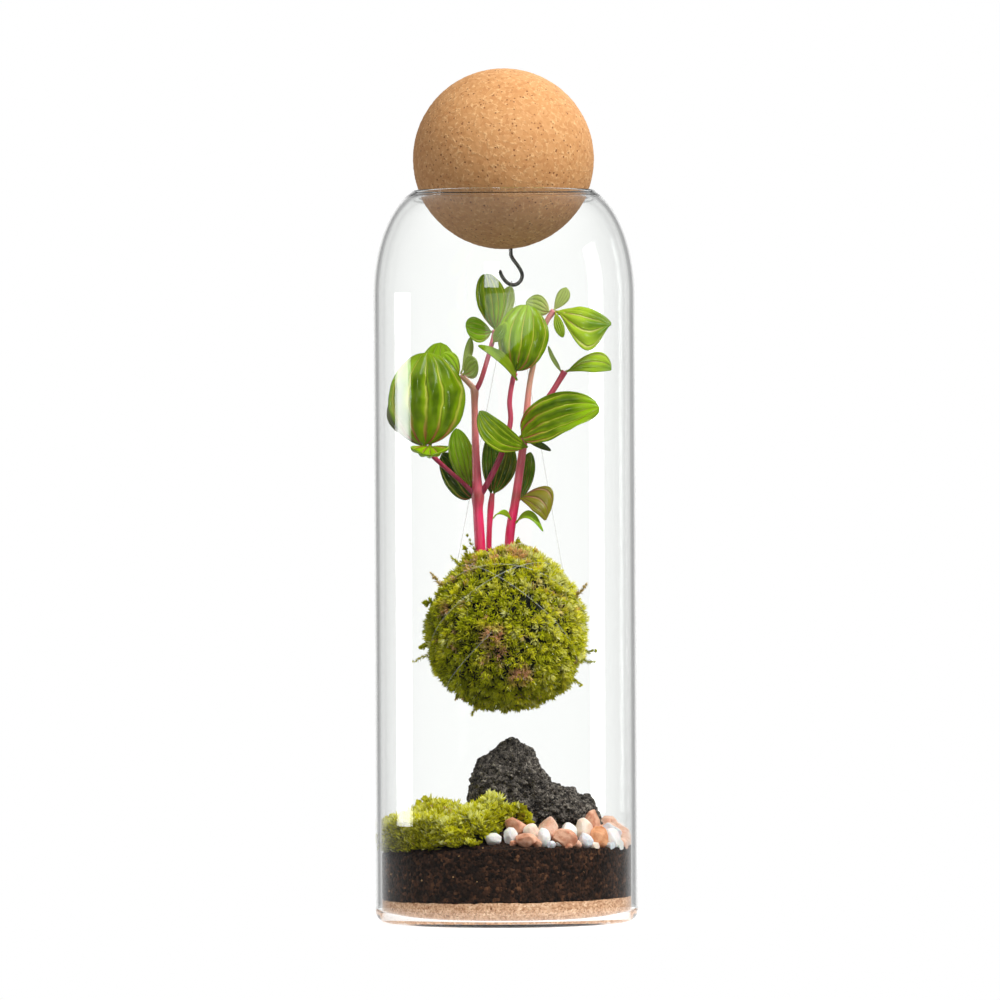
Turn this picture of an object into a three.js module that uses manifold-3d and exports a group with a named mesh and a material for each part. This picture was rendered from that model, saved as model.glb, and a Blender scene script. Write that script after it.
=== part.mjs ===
// A glass plant terrarium. A ball of moss with a leafy plant hangs on a clear thread from a steel
// hook, and the hook is screwed into the cork ball that closes the tall jar. Sand, soil, living
// moss, a lava rock and small pebbles lie on the jar's floor.
// Millimetres, +Z up, origin at the middle of the jar's flat bottom, front towards -Y.

import * as THREE from 'three';
import { mergeVertices } from 'three/addons/utils/BufferGeometryUtils.js';
import Module from 'manifold-3d';

const wasm = await Module();
wasm.setup();

const DEGREE = Math.PI / 180;
const GAP = 0.3;                     // clearance between pieces that touch
const FACETED_GAP = 1.5 * GAP;       // the same between two coarsely faceted skins
const LYING_GAP = 1.3 * GAP;         // the same under what lies on the soil

// Glass jar
const JAR_RADIUS = 50;
const JAR_WALL = 2.2;
const JAR_BASE = 2.6;
const FOOT_ROUNDING = 4.5;
const FLOOR_ROUNDING = FOOT_ROUNDING - 1;
const SHOULDER_START = 238;          // height where the straight wall ends
const SHOULDER_REACH = 22;           // how far the shoulder comes in
const SHOULDER_RISE = 42;            // how high its ellipse would rise
const SHOULDER_TURNS = [0, 13, 27, 40, 54];
const SHOULDER_END = { outside: 69.5, inside: 68 };
const LIP_RADIUS = 1.5;
const LIP_CENTRE = new THREE.Vector2(33.8, 277.06);
const LIP_TURNS = [26, 70, 115, 160, 205, 250, 290];
const JAR_SEGMENTS = 30;
const INNER_RADIUS = JAR_RADIUS - JAR_WALL;
const FILL_RADIUS = INNER_RADIUS - GAP;

// Cork ball and its hook
const CORK_RADIUS = 34.5;
const CORK_HEIGHT = 290.3;           // height of its centre
const CORK_ROLL = 4.3 * DEGREE;      // the ball sits rolled, so the hook is off the middle
const CORK_SEGMENTS = 26;
const SHANK_DEPTH = 15;
const HOOK_WIRE = 1.45;              // diameter
const HOOK_SIDES = 8;
const HOLE_RADIUS = HOOK_WIRE / 2 + GAP + 0.05;

// The hook's bend as seen from the front, [x, height].
const HOOK_BEND = [
  [2.65, 255.1], [2.7, 253.6], [3.7, 251.7], [5.2, 249.7], [6.4, 247.7], [6.9, 246.1],
  [6.6, 244.4], [5.6, 243.1], [4.3, 242.4], [2.9, 242.4], [1.5, 243], [0.3, 244.1],
  [-0.7, 245.5], [-1.3, 246.8], [-1.5, 248],
];

// Hanging moss ball
const BALL_CENTRE = new THREE.Vector3(0.3, 0, 111);
const MOSS_RADIUS = 29.8;            // without its tufts
const MOSS_INNER = 25.6;
const BALL_TAPER = 0.15;             // how much slimmer the ball gets towards its top
const BALL_RISE = 0.11;              // how much taller its upper half is
const BALL_SPREAD = 0.1;             // how much wider it gets towards its bottom
const BALL_DETAIL = 6;
const BALL_SEED = 7;
const NECK_CENTRE = new THREE.Vector2(-3.9, 0.1);
const NECK_HALF = new THREE.Vector2(9.4, 5.8);
const NECK_RISE = 27.8;              // how far the soil reaches up between the stems
const NECK_SIDES = 14;
const NECK_MARGIN = 0.1;

// Threads
const THREAD = 0.35;                 // diameter
const THREAD_SIDES = 8;
const THREAD_LEFT = new THREE.Vector3(-18.9, 5.5, 134);
const THREAD_RIGHT = new THREE.Vector3(22.9, 8, 128);
const THREAD_SEAT = new THREE.Vector3(2.9, 0, 242.4);     // the wire under the thread
const LOOP_RADIUS = HOOK_WIRE / 2 + GAP + THREAD / 2 + 0.12;
const LOOP_STEPS = 8;
const STRAND_SPACING = 0.5;          // between the two strands at the hook
const STRAND_STOPS = [0.5, 0.97];    // shares of a strand's length, from the ball up
const STRAND_HOLE = THREAD + 2 * GAP + 0.5;
const STRAND_HOLE_SIDES = 6;
const STRAND_HOLE_SINK = 0.6;        // how far the hole reaches below the strand's end
const STRAND_HOLE_REACH = 12;
const WINDING_RADIUS = 30;
const WINDING_TURNS = 3;
const WINDING_SPREAD = 1.5;          // how much further out its last turn lies
const WINDING_TILT = 50 * DEGREE;
const WINDING_HEADING = 20 * DEGREE; // where the first turn's pole leans to
const WINDING_SWING = 150 * DEGREE;  // how far the pole swings round
const STEPS_PER_TURN = 15;
const GROOVE_HALF = THREAD / 2 + GAP + 0.1;
const GROOVE_DEPTH = 0.55;           // below the thread's middle
const GROOVE_REACH = 1.32;           // how far out it goes, in distances from the ball's middle
const GROOVE_OVERLAP = 0.3;          // between the grooves of two turns, in steps

// Tufts of moss: the shortest and the longest
const BALL_TUFT = [1.6, 3.6];
const NECK_TUFT = [0.7, 1.5];        // near the stems
const NECK_TUFT_REACH = 17;
const GROUND_TUFT = [1, 3.2];
const TUFT_SHARE = 0.8;              // of the places where a tuft may stand
const STRAY_REACH = 7;
const MOSS_WAVE = { height: 0.8, size: 15 };

// Longer tufts that stick out of the ball, [x, y, z, extra length].
const STRAY_TUFTS = [
  [-36, -6, 96, 3.4], [34, -5, 96, 3.2], [-12, -6, 79, 3], [-26, -8, 130, 2.6],
  [20, 10, 84, 2.8], [-20, 16, 88, 2.6], [8, 30, 118, 2.4],
];

// Stems
const MAIN_SIDES = 7;
const SHOOT_SIDES = 5;
const STEPS_PER_KNOT = 2;

// Leaves
const LEAF_THICKNESS = 0.8;
const LEAF_NECK = 0.1;               // share of its width that a leaf keeps at both ends
const LEAF_COLUMNS = 4;
const LEAF_ROWS = { large: 7, small: 5 };
const LARGE_LEAF = 18;               // length from which a leaf counts as large

// Sand and soil
const SAND_TOP = 9.5;
const SAND_SLOPE = 0.012;
const SAND_WAVE = { height: 0.3, size: 31, phase: 0.4 };
const SOIL_EDGE = 30;
const SOIL_CROWN = 7.5;              // how much higher the soil is in the middle
const CROWN_REACH = 0.45;            // share of the radius over which it rises
const SOIL_SINK = { left: 1.6, right: 1 };                // how much lower it is at the sides
const SOIL_WAVE = { height: 0.5, size: 24, phase: 2.1 };
const FILLING_RINGS = [38, 27, 14];
const SOIL_CUTTER_REACH = 0.7;       // past the soil's wall
const CORNER_CUT = 0.3;              // share of a round corner that its middle is cut by

// Round cushions of the moss mound, [x, y, half width, half height above the soil, detail].
const CUSHIONS = [
  [-33, -19, 13.5, 10.4, 4], [-22.5, -28.5, 13.5, 11, 4], [-13, -32, 10.5, 11.6, 4],
  [-38, 0, 11.5, 9.8, 2], [-30, 12, 12, 9.4, 2], [-6, -27, 7.5, 12.6, 2],
  [2.8, -28.6, 5.6, 8.6, 2], [-26, -6, 13, 10.6, 2],
];
const CUSHION_SEED = 31;
const CUSHION_SINK = 1;
const CUSHION_SKIN = 1.5;            // how much of the height its tufts make up

// Lava rock: its ridge as seen from the front, [x, height], and how deep it is there.
const ROCK_RIDGE = [
  [-14.4, 42, 3], [-14, 51, 7], [-11.8, 57.6, 10], [-8.8, 62.2, 12], [-5, 65.4, 13],
  [-1, 67, 13.5], [3.4, 69.4, 13.5], [7.2, 67.4, 13], [11, 63, 12.5], [12.8, 58.6, 12],
  [15.8, 54.4, 11.5], [20, 51, 11], [24.4, 49.6, 10.5], [28.4, 47.6, 10], [32, 46, 8.5],
  [34.6, 42.6, 6.5], [36, 40, 3],
];
const ROCK_MIDDLE = 4.5;             // how far behind the jar's middle it lies
const ROCK_FOOT = 33;
const ROCK_SIDES = 13;
const ROCK_SLICES = 20;
const ROCK_SQUARENESS = { deep: 0.8, high: 0.75 };        // 1 is an ellipse, less is squarer
const ROCK_LUMPS = [
  { height: 1.9, size: 11, phase: 4.2 },
  { height: 1.7, size: 6.4, phase: 0.8 },
];
const ROCK_LUMP_DRIFT = 0.3;         // how much of a lump also goes along the ridge

// Pebbles
const PEBBLE_WEAR = { height: 0.12, size: 0.65 };         // in pebble widths
const PEBBLE_SEAT = 0.28;            // share of its height that its middle lies above the soil
const WHITE = 0xf2ede4;
const CREAM = 0xeed9ba;
const TERRACOTTA = 0xb9643f;
const PEACH = 0xe5b496;

// [name, x, y, width, depth, height, turn in degrees, colour], in rows from front to back.
const PEBBLES = [
  ['white_flat', -4.9, -39.6, 6, 4.6, 4.2, 10, WHITE],
  ['white_moss', 1.4, -39.4, 5.2, 5.2, 6.6, 40, WHITE],
  ['terracotta_front', 7, -42.2, 8, 5, 5.6, -8, TERRACOTTA],
  ['white_upright', 13.7, -40.4, 4.8, 4.8, 8, 15, WHITE],
  ['terracotta_wide', 20.8, -37.5, 10.4, 5.6, 7, -28, TERRACOTTA],
  ['grey_white', 29.3, -33.6, 5.8, 5.6, 6.2, 30, WHITE],
  ['orange', 34.2, -28.6, 5.8, 5.8, 9, 0, TERRACOTTA],
  ['white_right', 38.4, -21.6, 7.4, 6.4, 7.6, 25, WHITE],
  ['terracotta_behind', 3.6, -33, 8.6, 5.6, 6.6, 20, TERRACOTTA],
  ['cream_small', 9.4, -36.2, 6.2, 6, 6.6, 50, CREAM],
  ['terracotta_round', 15.9, -32.2, 8.2, 7, 8.2, 20, TERRACOTTA],
  ['white_middle', 23, -30.6, 5.8, 6, 7.2, 0, WHITE],
  ['cream_large', 28.8, -26.4, 6.8, 6.6, 9.6, 0, CREAM],
  ['terracotta_tall', 32.2, -19.4, 6, 6, 12, 0, TERRACOTTA],
  ['white_blue', 38.6, -13.2, 8, 7.4, 8.4, -20, WHITE],
];
const BESIDE_MOSS = [
  'white_flat', 'white_moss', 'terracotta_front', 'terracotta_behind', 'cream_small',
];

// The pebbles along the wall on the right and behind the rock; the first few lie in a heap.
const REAR = {
  count: 12,
  start: -7 * DEGREE,
  spacing: 8.6 * DEGREE,
  reach: [42, 39.6],
  size: 8.4,
  spread: 1.2,                       // how much further out and larger one may be
  seed: 91,
};
const HEAP = { count: 3, lift: 3.6, shape: [1.1, 0.95, 1.05] };
const ROW = { lift: 1.8, shape: [1.1, 0.95, 0.85] };


// ---------------------------------------------------------------- helpers

// A seeded stream of numbers from 0 to 1.
function randomStream(seed) {
  let state = seed >>> 0;
  return () => {
    state = (state + 0x6d2b79f5) >>> 0;
    let t = state;
    t = Math.imul(t ^ (t >>> 15), t | 1);
    t ^= t + Math.imul(t ^ (t >>> 7), t | 61);
    return ((t ^ (t >>> 14)) >>> 0) / 4294967296;
  };
}

// A smooth lumpy value from -1 to 1 at a point, with lumps of about the given size.
function lumps(x, y, z, size, phase = 0) {
  const k = 2 * Math.PI / size;
  const a = Math.sin(k * (x + 0.31 * z) + phase) * Math.cos(k * (y - 0.23 * x) + 1.7 * phase);
  const b = Math.sin(k * (0.8 * z + 0.55 * y) + 2.3 * phase + 1.1);
  const c = Math.cos(k * (0.9 * x - 0.7 * y + 0.4 * z) + 0.6 * phase);
  return (a + b + c) / 3;
}

function weld(geometry) {
  geometry.deleteAttribute('normal');
  geometry.deleteAttribute('uv');
  return mergeVertices(geometry, 1e-4);
}

function solidOf(geometry) {
  const welded = weld(geometry.clone());
  return new wasm.Manifold(new wasm.Mesh({
    numProp: 3,
    vertProperties: Float32Array.from(welded.attributes.position.array),
    triVerts: Uint32Array.from(welded.index.array),
  }));
}

// The surface of a solid, without the loose scraps that a cut may leave.
function geometryOf(solid) {
  const bodies = solid.decompose();
  bodies.sort((a, b) => b.volume() - a.volume());
  const cut = bodies[0].getMesh();
  const geometry = new THREE.BufferGeometry();
  geometry.setAttribute('position', new THREE.BufferAttribute(cut.vertProperties, 3));
  geometry.setIndex(new THREE.BufferAttribute(cut.triVerts, 1));
  geometry.computeVertexNormals();
  return geometry;
}

function join(geometries) {
  let whole = solidOf(geometries[0]);
  for (const geometry of geometries.slice(1)) {
    whole = whole.add(solidOf(geometry));
  }
  return geometryOf(whole);
}

function cutAway(geometry, cutters) {
  let rest = solidOf(geometry);
  for (const cutter of cutters) {
    rest = rest.subtract(solidOf(cutter));
  }
  return geometryOf(rest);
}

// A closed skin from rings of points; each ring has the same number of points, in order.
function loft(rings) {
  const count = rings[0].length;
  const positions = [];
  const index = [];
  for (const ring of rings) {
    for (const point of ring) {
      positions.push(point.x, point.y, point.z);
    }
  }
  for (let i = 0; i < rings.length - 1; i += 1) {
    for (let j = 0; j < count; j += 1) {
      const a = i * count + j;
      const b = i * count + (j + 1) % count;
      index.push(a, b, b + count, a, b + count, a + count);
    }
  }
  for (const end of [0, rings.length - 1]) {
    const middle = new THREE.Vector3();
    for (const point of rings[end]) {
      middle.addScaledVector(point, 1 / count);
    }
    const tip = positions.length / 3;
    positions.push(middle.x, middle.y, middle.z);
    for (let j = 0; j < count; j += 1) {
      const a = end * count + j;
      const b = end * count + (j + 1) % count;
      index.push(...(end === 0 ? [b, a, tip] : [a, b, tip]));
    }
  }
  const geometry = new THREE.BufferGeometry();
  geometry.setAttribute('position', new THREE.Float32BufferAttribute(positions, 3));
  geometry.setIndex(index);
  geometry.computeVertexNormals();
  return geometry;
}

// A solid of revolution about Z, from a profile of [radius, height] pairs.
function turned(profile, segments) {
  const points = profile.map(([radius, height]) => new THREE.Vector2(radius, height));
  return new THREE.LatheGeometry(points, segments).rotateX(Math.PI / 2);
}

// A curve that is sampled point by point, so tight bends get as many steps as they need.
class HandSpacedCurve extends THREE.CatmullRomCurve3 {
  getPointAt(u, target) {
    return this.getPoint(u, target);
  }

  getTangentAt(u, target) {
    return this.getTangent(u, target);
  }
}

function cordTube(points, diameter, sides) {
  const section = new THREE.Shape();
  for (let i = 0; i < sides; i += 1) {
    const angle = 2 * Math.PI * i / sides;
    const x = diameter / 2 * Math.cos(angle);
    const y = diameter / 2 * Math.sin(angle);
    if (i === 0) {
      section.moveTo(x, y);
    } else {
      section.lineTo(x, y);
    }
  }
  section.closePath();
  const path = new HandSpacedCurve(points, false, 'centripetal');
  return new THREE.ExtrudeGeometry(section, {
    steps: points.length - 1,
    extrudePath: path,
    bevelEnabled: false,
  });
}

// A round branch through points of [x, y, z, radius].
function branch(knots, sides, grow = 0) {
  const path = new THREE.CatmullRomCurve3(knots.map((k) => new THREE.Vector3(k[0], k[1], k[2])));
  const steps = (knots.length - 1) * STEPS_PER_KNOT;
  const frames = path.computeFrenetFrames(steps, false);
  const rings = [];
  for (let i = 0; i <= steps; i += 1) {
    const at = path.getPointAt(i / steps);
    const along = path.getUtoTmapping(i / steps) * (knots.length - 1);
    const before = Math.min(Math.floor(along), knots.length - 2);
    const radius = THREE.MathUtils.lerp(knots[before][3], knots[before + 1][3], along - before);
    const ring = [];
    for (let j = 0; j < sides; j += 1) {
      const angle = 2 * Math.PI * j / sides;
      const point = at.clone();
      point.addScaledVector(frames.normals[i], (radius + grow) * Math.cos(angle));
      point.addScaledVector(frames.binormals[i], (radius + grow) * Math.sin(angle));
      ring.push(point);
    }
    rings.push(ring);
  }
  for (const [end, sign] of [[0, -grow], [steps, grow]]) {
    rings[end].forEach((point) => point.addScaledVector(frames.tangents[end], sign));
  }
  return loft(rings);
}

// ---------------------------------------------------------------- jar

// Points of an elliptical arc at the given turns, in degrees.
function arc(centreX, centreY, radiusX, radiusY, turns) {
  return turns.map((turn) => [
    centreX + radiusX * Math.cos(turn * DEGREE),
    centreY + radiusY * Math.sin(turn * DEGREE),
  ]);
}

function jarProfile() {
  const shoulder = (inset, turns) => arc(
    JAR_RADIUS - SHOULDER_REACH, SHOULDER_START, SHOULDER_REACH - inset, SHOULDER_RISE - inset, turns,
  );
  const foot = JAR_RADIUS - FOOT_ROUNDING;
  const floor = INNER_RADIUS - FLOOR_ROUNDING;
  const floorCorner = JAR_BASE + FLOOR_ROUNDING;
  return [
    [0, 0],
    [foot, 0],
    ...arc(foot, FOOT_ROUNDING, FOOT_ROUNDING, FOOT_ROUNDING, [-60, -30, 0]),
    ...shoulder(0, [...SHOULDER_TURNS, SHOULDER_END.outside]),
    ...arc(LIP_CENTRE.x, LIP_CENTRE.y, LIP_RADIUS, LIP_RADIUS, LIP_TURNS),
    ...shoulder(JAR_WALL, [...SHOULDER_TURNS, SHOULDER_END.inside].reverse()),
    ...arc(floor, floorCorner, FLOOR_ROUNDING, FLOOR_ROUNDING, [0, -45, -90]),
    [0, JAR_BASE],
  ];
}

// ---------------------------------------------------------------- cork ball, hook and thread

const corkAxis = new THREE.Vector3(Math.sin(CORK_ROLL), 0, -Math.cos(CORK_ROLL));
const corkCentre = new THREE.Vector3(0, 0, CORK_HEIGHT);

function corkBall() {
  const mouth = Math.acos(HOLE_RADIUS / CORK_RADIUS);
  const top = -CORK_RADIUS + SHANK_DEPTH + 2 * GAP;
  const bands = CORK_SEGMENTS / 2;
  const profile = [[0, top], [HOLE_RADIUS, top]];
  for (let i = 0; i < bands; i += 1) {
    const turn = -mouth + (mouth + Math.PI / 2) * i / bands;
    profile.push([CORK_RADIUS * Math.cos(turn), CORK_RADIUS * Math.sin(turn)]);
  }
  profile.push([0, CORK_RADIUS]);
  return turned(profile, CORK_SEGMENTS);
}

// The hook's wire: its shank in the cork, then its bend.
function hookPoints() {
  const shank = [SHANK_DEPTH, SHANK_DEPTH / 2].map(
    (depth) => corkCentre.clone().addScaledVector(corkAxis, CORK_RADIUS - depth),
  );
  return [...shank, ...HOOK_BEND.map(([x, z]) => new THREE.Vector3(x, 0, z))];
}

// The hanging thread: left shoulder of the ball, up, over the hook from front to back, and down.
function hangingThreadPoints() {
  const shift = new THREE.Vector3(STRAND_SPACING / 2, LOOP_RADIUS, 0);
  const front = THREAD_SEAT.clone().sub(shift);
  const back = THREAD_SEAT.clone().add(shift);
  const up = STRAND_STOPS.map((share) => THREAD_LEFT.clone().lerp(front, share));
  const down = STRAND_STOPS.map((share) => THREAD_RIGHT.clone().lerp(back, share)).reverse();
  const over = [];
  for (let i = 0; i <= LOOP_STEPS; i += 1) {
    const turn = Math.PI * i / LOOP_STEPS;
    over.push(THREAD_SEAT.clone().add(new THREE.Vector3(
      STRAND_SPACING * (i / LOOP_STEPS - 0.5),
      -LOOP_RADIUS * Math.cos(turn),
      LOOP_RADIUS * Math.sin(turn),
    )));
  }
  return [THREAD_LEFT, ...up, ...over, ...down, THREAD_RIGHT];
}

// How the ball departs from a true ball in a direction; `up` is the direction's height.
function ballStretch(up) {
  const width = up > 0 ? 1 - BALL_TAPER * up * up : 1 + BALL_SPREAD * up * up;
  const height = up > 0 ? 1 + BALL_RISE * up : 1;
  return new THREE.Vector3(width, width, height);
}

// The point of the ball's shape that lies in a direction from its middle, at a nominal radius.
function ballPoint(direction, radius) {
  const stretch = ballStretch(direction.z);
  return direction.clone().multiply(stretch).multiplyScalar(radius).add(BALL_CENTRE);
}

// The winding: turns whose plane swings round the ball and that pass clear of the stems. Each
// turn lies a little further out, so the turns cross without touching.
function windingPoint(step, grow) {
  const done = step / (STEPS_PER_TURN * WINDING_TURNS);
  const turn = 2 * Math.PI * step / STEPS_PER_TURN;
  const swing = WINDING_HEADING + WINDING_SWING * done;
  const level = Math.sin(WINDING_TILT);
  const pole = new THREE.Vector3(
    level * Math.cos(swing), level * Math.sin(swing), Math.cos(WINDING_TILT),
  );
  const side = new THREE.Vector3(-Math.sin(swing), Math.cos(swing), 0);
  const rise = pole.clone().cross(side);
  const radius = WINDING_RADIUS + WINDING_SPREAD * done + grow;
  const direction = side.multiplyScalar(Math.cos(turn)).addScaledVector(rise, Math.sin(turn));
  return ballPoint(direction, radius);
}

function windingPoints() {
  const count = STEPS_PER_TURN * WINDING_TURNS + 1;
  return Array.from({ length: count }, (_, step) => windingPoint(step, 0));
}

// The groove of one turn: a wall that stands on the thread and reaches out of the moss.
function windingGroove(order) {
  const start = order * STEPS_PER_TURN;
  const end = start + STEPS_PER_TURN;
  const stops = Array.from({ length: STEPS_PER_TURN }, (_, i) => start + 1 + i);
  const rings = [start - GROOVE_OVERLAP, ...stops, end + GROOVE_OVERLAP].map((step) => {
    const inner = windingPoint(step, -GROOVE_DEPTH);
    const outer = inner.clone().sub(BALL_CENTRE).multiplyScalar(GROOVE_REACH).add(BALL_CENTRE);
    const along = windingPoint(step + 0.5, 0).sub(windingPoint(step - 0.5, 0)).normalize();
    const out = outer.clone().sub(inner).normalize();
    const side = new THREE.Vector3().crossVectors(along, out).multiplyScalar(GROOVE_HALF);
    return [
      inner.clone().sub(side), outer.clone().sub(side),
      outer.clone().add(side), inner.clone().add(side),
    ];
  });
  return loft(rings);
}

// ---------------------------------------------------------------- moss

// Which points of a skin carry a tuft: never two neighbours.
function tuftPlaces(geometry, random) {
  const index = geometry.index.array;
  const neighbours = Array.from({ length: geometry.attributes.position.count }, () => new Set());
  for (let i = 0; i < index.length; i += 3) {
    for (let j = 0; j < 3; j += 1) {
      const a = index[i + j];
      const b = index[i + (j + 1) % 3];
      neighbours[a].add(b);
      neighbours[b].add(a);
    }
  }
  const standing = new Set();
  neighbours.forEach((around, i) => {
    const free = ![...around].some((other) => standing.has(other));
    if (free && random() < TUFT_SHARE) {
      standing.add(i);
    }
  });
  return standing;
}

const UNSTRETCHED = new THREE.Vector3(1, 1, 1);

// A rounded cushion with tufts that stand out of it. `height` gives each tuft its length, and
// `stretch` how the cushion departs from an ellipsoid.
function tufted(centre, radii, detail, seed, height, stretch = () => UNSTRETCHED) {
  const geometry = weld(new THREE.IcosahedronGeometry(1, detail));
  const position = geometry.attributes.position;
  const random = randomStream(seed);
  const standing = tuftPlaces(geometry, random);
  for (let i = 0; i < position.count; i += 1) {
    const out = new THREE.Vector3().fromBufferAttribute(position, i);
    const point = out.clone().multiply(radii);
    let lift = MOSS_WAVE.height * lumps(point.x, point.y, point.z, MOSS_WAVE.size, seed);
    if (standing.has(i)) {
      lift += height(point.clone().add(centre), random());
    }
    point.addScaledVector(out, lift).multiply(stretch(out.z)).add(centre);
    position.setXYZ(i, point.x, point.y, point.z);
  }
  geometry.computeVertexNormals();
  return geometry;
}

function ballTuft(at, draw) {
  const aside = Math.hypot(at.x - NECK_CENTRE.x, at.y - NECK_CENTRE.y);
  if (at.z > BALL_CENTRE.z && aside < NECK_TUFT_REACH) {
    return THREE.MathUtils.lerp(...NECK_TUFT, draw);
  }
  let length = THREE.MathUtils.lerp(...BALL_TUFT, draw);
  for (const [x, y, z, extra] of STRAY_TUFTS) {
    if (Math.hypot(at.x - x, at.y - y, at.z - z) < STRAY_REACH) {
      length += extra;
    }
  }
  return length;
}

function ballShape(radius) {
  const geometry = weld(new THREE.SphereGeometry(1, 16, 10).rotateX(Math.PI / 2));
  const position = geometry.attributes.position;
  for (let i = 0; i < position.count; i += 1) {
    const point = ballPoint(new THREE.Vector3().fromBufferAttribute(position, i), radius);
    position.setXYZ(i, point.x, point.y, point.z);
  }
  return geometry;
}

// An upright elliptical column from the ball's middle up to a height above it.
function neckColumn(half, rise) {
  const column = new THREE.CylinderGeometry(1, 1, rise, NECK_SIDES).rotateX(Math.PI / 2);
  column.scale(half.x, half.y, 1);
  column.translate(NECK_CENTRE.x, NECK_CENTRE.y, BALL_CENTRE.z + rise / 2);
  return column;
}

function mossShell() {
  const radii = new THREE.Vector3().setScalar(MOSS_RADIUS);
  const skin = tufted(BALL_CENTRE, radii, BALL_DETAIL, BALL_SEED, ballTuft, ballStretch);
  const hollow = ballShape(MOSS_INNER);
  const mouth = neckColumn(NECK_HALF, 1.5 * MOSS_RADIUS);
  const strands = [THREAD_LEFT, THREAD_RIGHT].map((end) => {
    const up = THREAD_SEAT.clone().sub(end).normalize();
    const from = end.clone().addScaledVector(up, -STRAND_HOLE_SINK);
    const to = end.clone().addScaledVector(up, STRAND_HOLE_REACH);
    return cordTube([from, to], STRAND_HOLE, STRAND_HOLE_SIDES);
  });
  const grooves = Array.from({ length: WINDING_TURNS }, (_, order) => windingGroove(order));
  return cutAway(skin, [hollow, mouth, ...grooves, ...strands]);
}

function rootBall(stemCutters) {
  const ball = ballShape(MOSS_INNER - FACETED_GAP);
  const neck = neckColumn(NECK_HALF.clone().subScalar(GAP + NECK_MARGIN), NECK_RISE);
  return cutAway(join([ball, neck]), stemCutters);
}

// ---------------------------------------------------------------- stems

// Points of [x, y, z, radius], bottom to top. The first list of each stem is its main axis.
const STEMS = {
  stem_left: [
    [[-7.5, -1.2, 127, 1.5], [-9, -1.8, 136, 2], [-9.8, -2, 148, 2.05], [-10.3, -2, 157, 1.95],
      [-10.3, -2, 162.3, 2.5], [-10.6, -2, 168, 1.8], [-11.1, -2, 181, 1.45],
      [-11.4, -2, 196, 1.25], [-11.4, -2, 201.8, 1.6], [-12.6, -1.7, 204, 1.15],
      [-16.6, -1.2, 208.2, 1.05]],
    [[-11.4, -2, 201.4, 1.0], [-9, -2.4, 206, 0.95], [-6.6, -2.8, 213.5, 0.9],
      [-4.3, -3.2, 221.5, 0.95], [-3.3, -3.4, 225, 1.15]],
    [[-10.6, -2, 161.4, 1.0], [-15.2, -3.2, 166.4, 0.9], [-22, -5.2, 172.4, 0.85],
      [-27, -7, 177.2, 0.95], [-29.6, -8.2, 181, 0.85]],
    [[-10, -2, 161.4, 1.2], [-6.4, -3.2, 167.4, 1.15], [-1.6, -4.2, 177.2, 1.1],
      [2.1, -4.4, 189.5, 1.0], [1.9, -4.6, 198, 0.95], [3, -5, 205.4, 0.95],
      [4, -5.2, 208.8, 1.1]],
  ],
  stem_middle: [
    [[-5.4, 2.6, 130, 0.8], [-6.2, 3, 140, 1.05], [-6, 3.2, 150, 1.1], [-5.4, 3.2, 158, 1.3],
      [-4.8, 3.4, 163, 0.9]],
  ],
  stem_right: [
    [[0.4, 0.2, 129, 1.3], [1.2, 0.2, 139, 1.75], [2, 0, 149, 1.8], [4, 0, 160.5, 1.7],
      [6.3, 0, 176, 1.55], [7.9, 0, 188, 1.45], [9.1, 0, 201, 1.15], [10.4, -0.1, 209, 1.05],
      [13, -0.4, 219.5, 1.0], [16, -0.8, 228, 1.0], [19, -1, 232.6, 1.25]],
    [[7.8, 0, 187, 1.2], [11.4, 0.8, 192.6, 1.15], [17.2, 1.2, 200.2, 1.1],
      [20.8, 1, 205.8, 1.1], [23, 0.6, 209.4, 1.25]],
  ],
};

function stemGeometry(name, grow = 0) {
  const limbs = STEMS[name].map(
    (knots, order) => branch(knots, order === 0 ? MAIN_SIDES : SHOOT_SIDES, grow),
  );
  return limbs.length === 1 ? limbs[0] : join(limbs);
}

// ---------------------------------------------------------------- leaves

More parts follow.
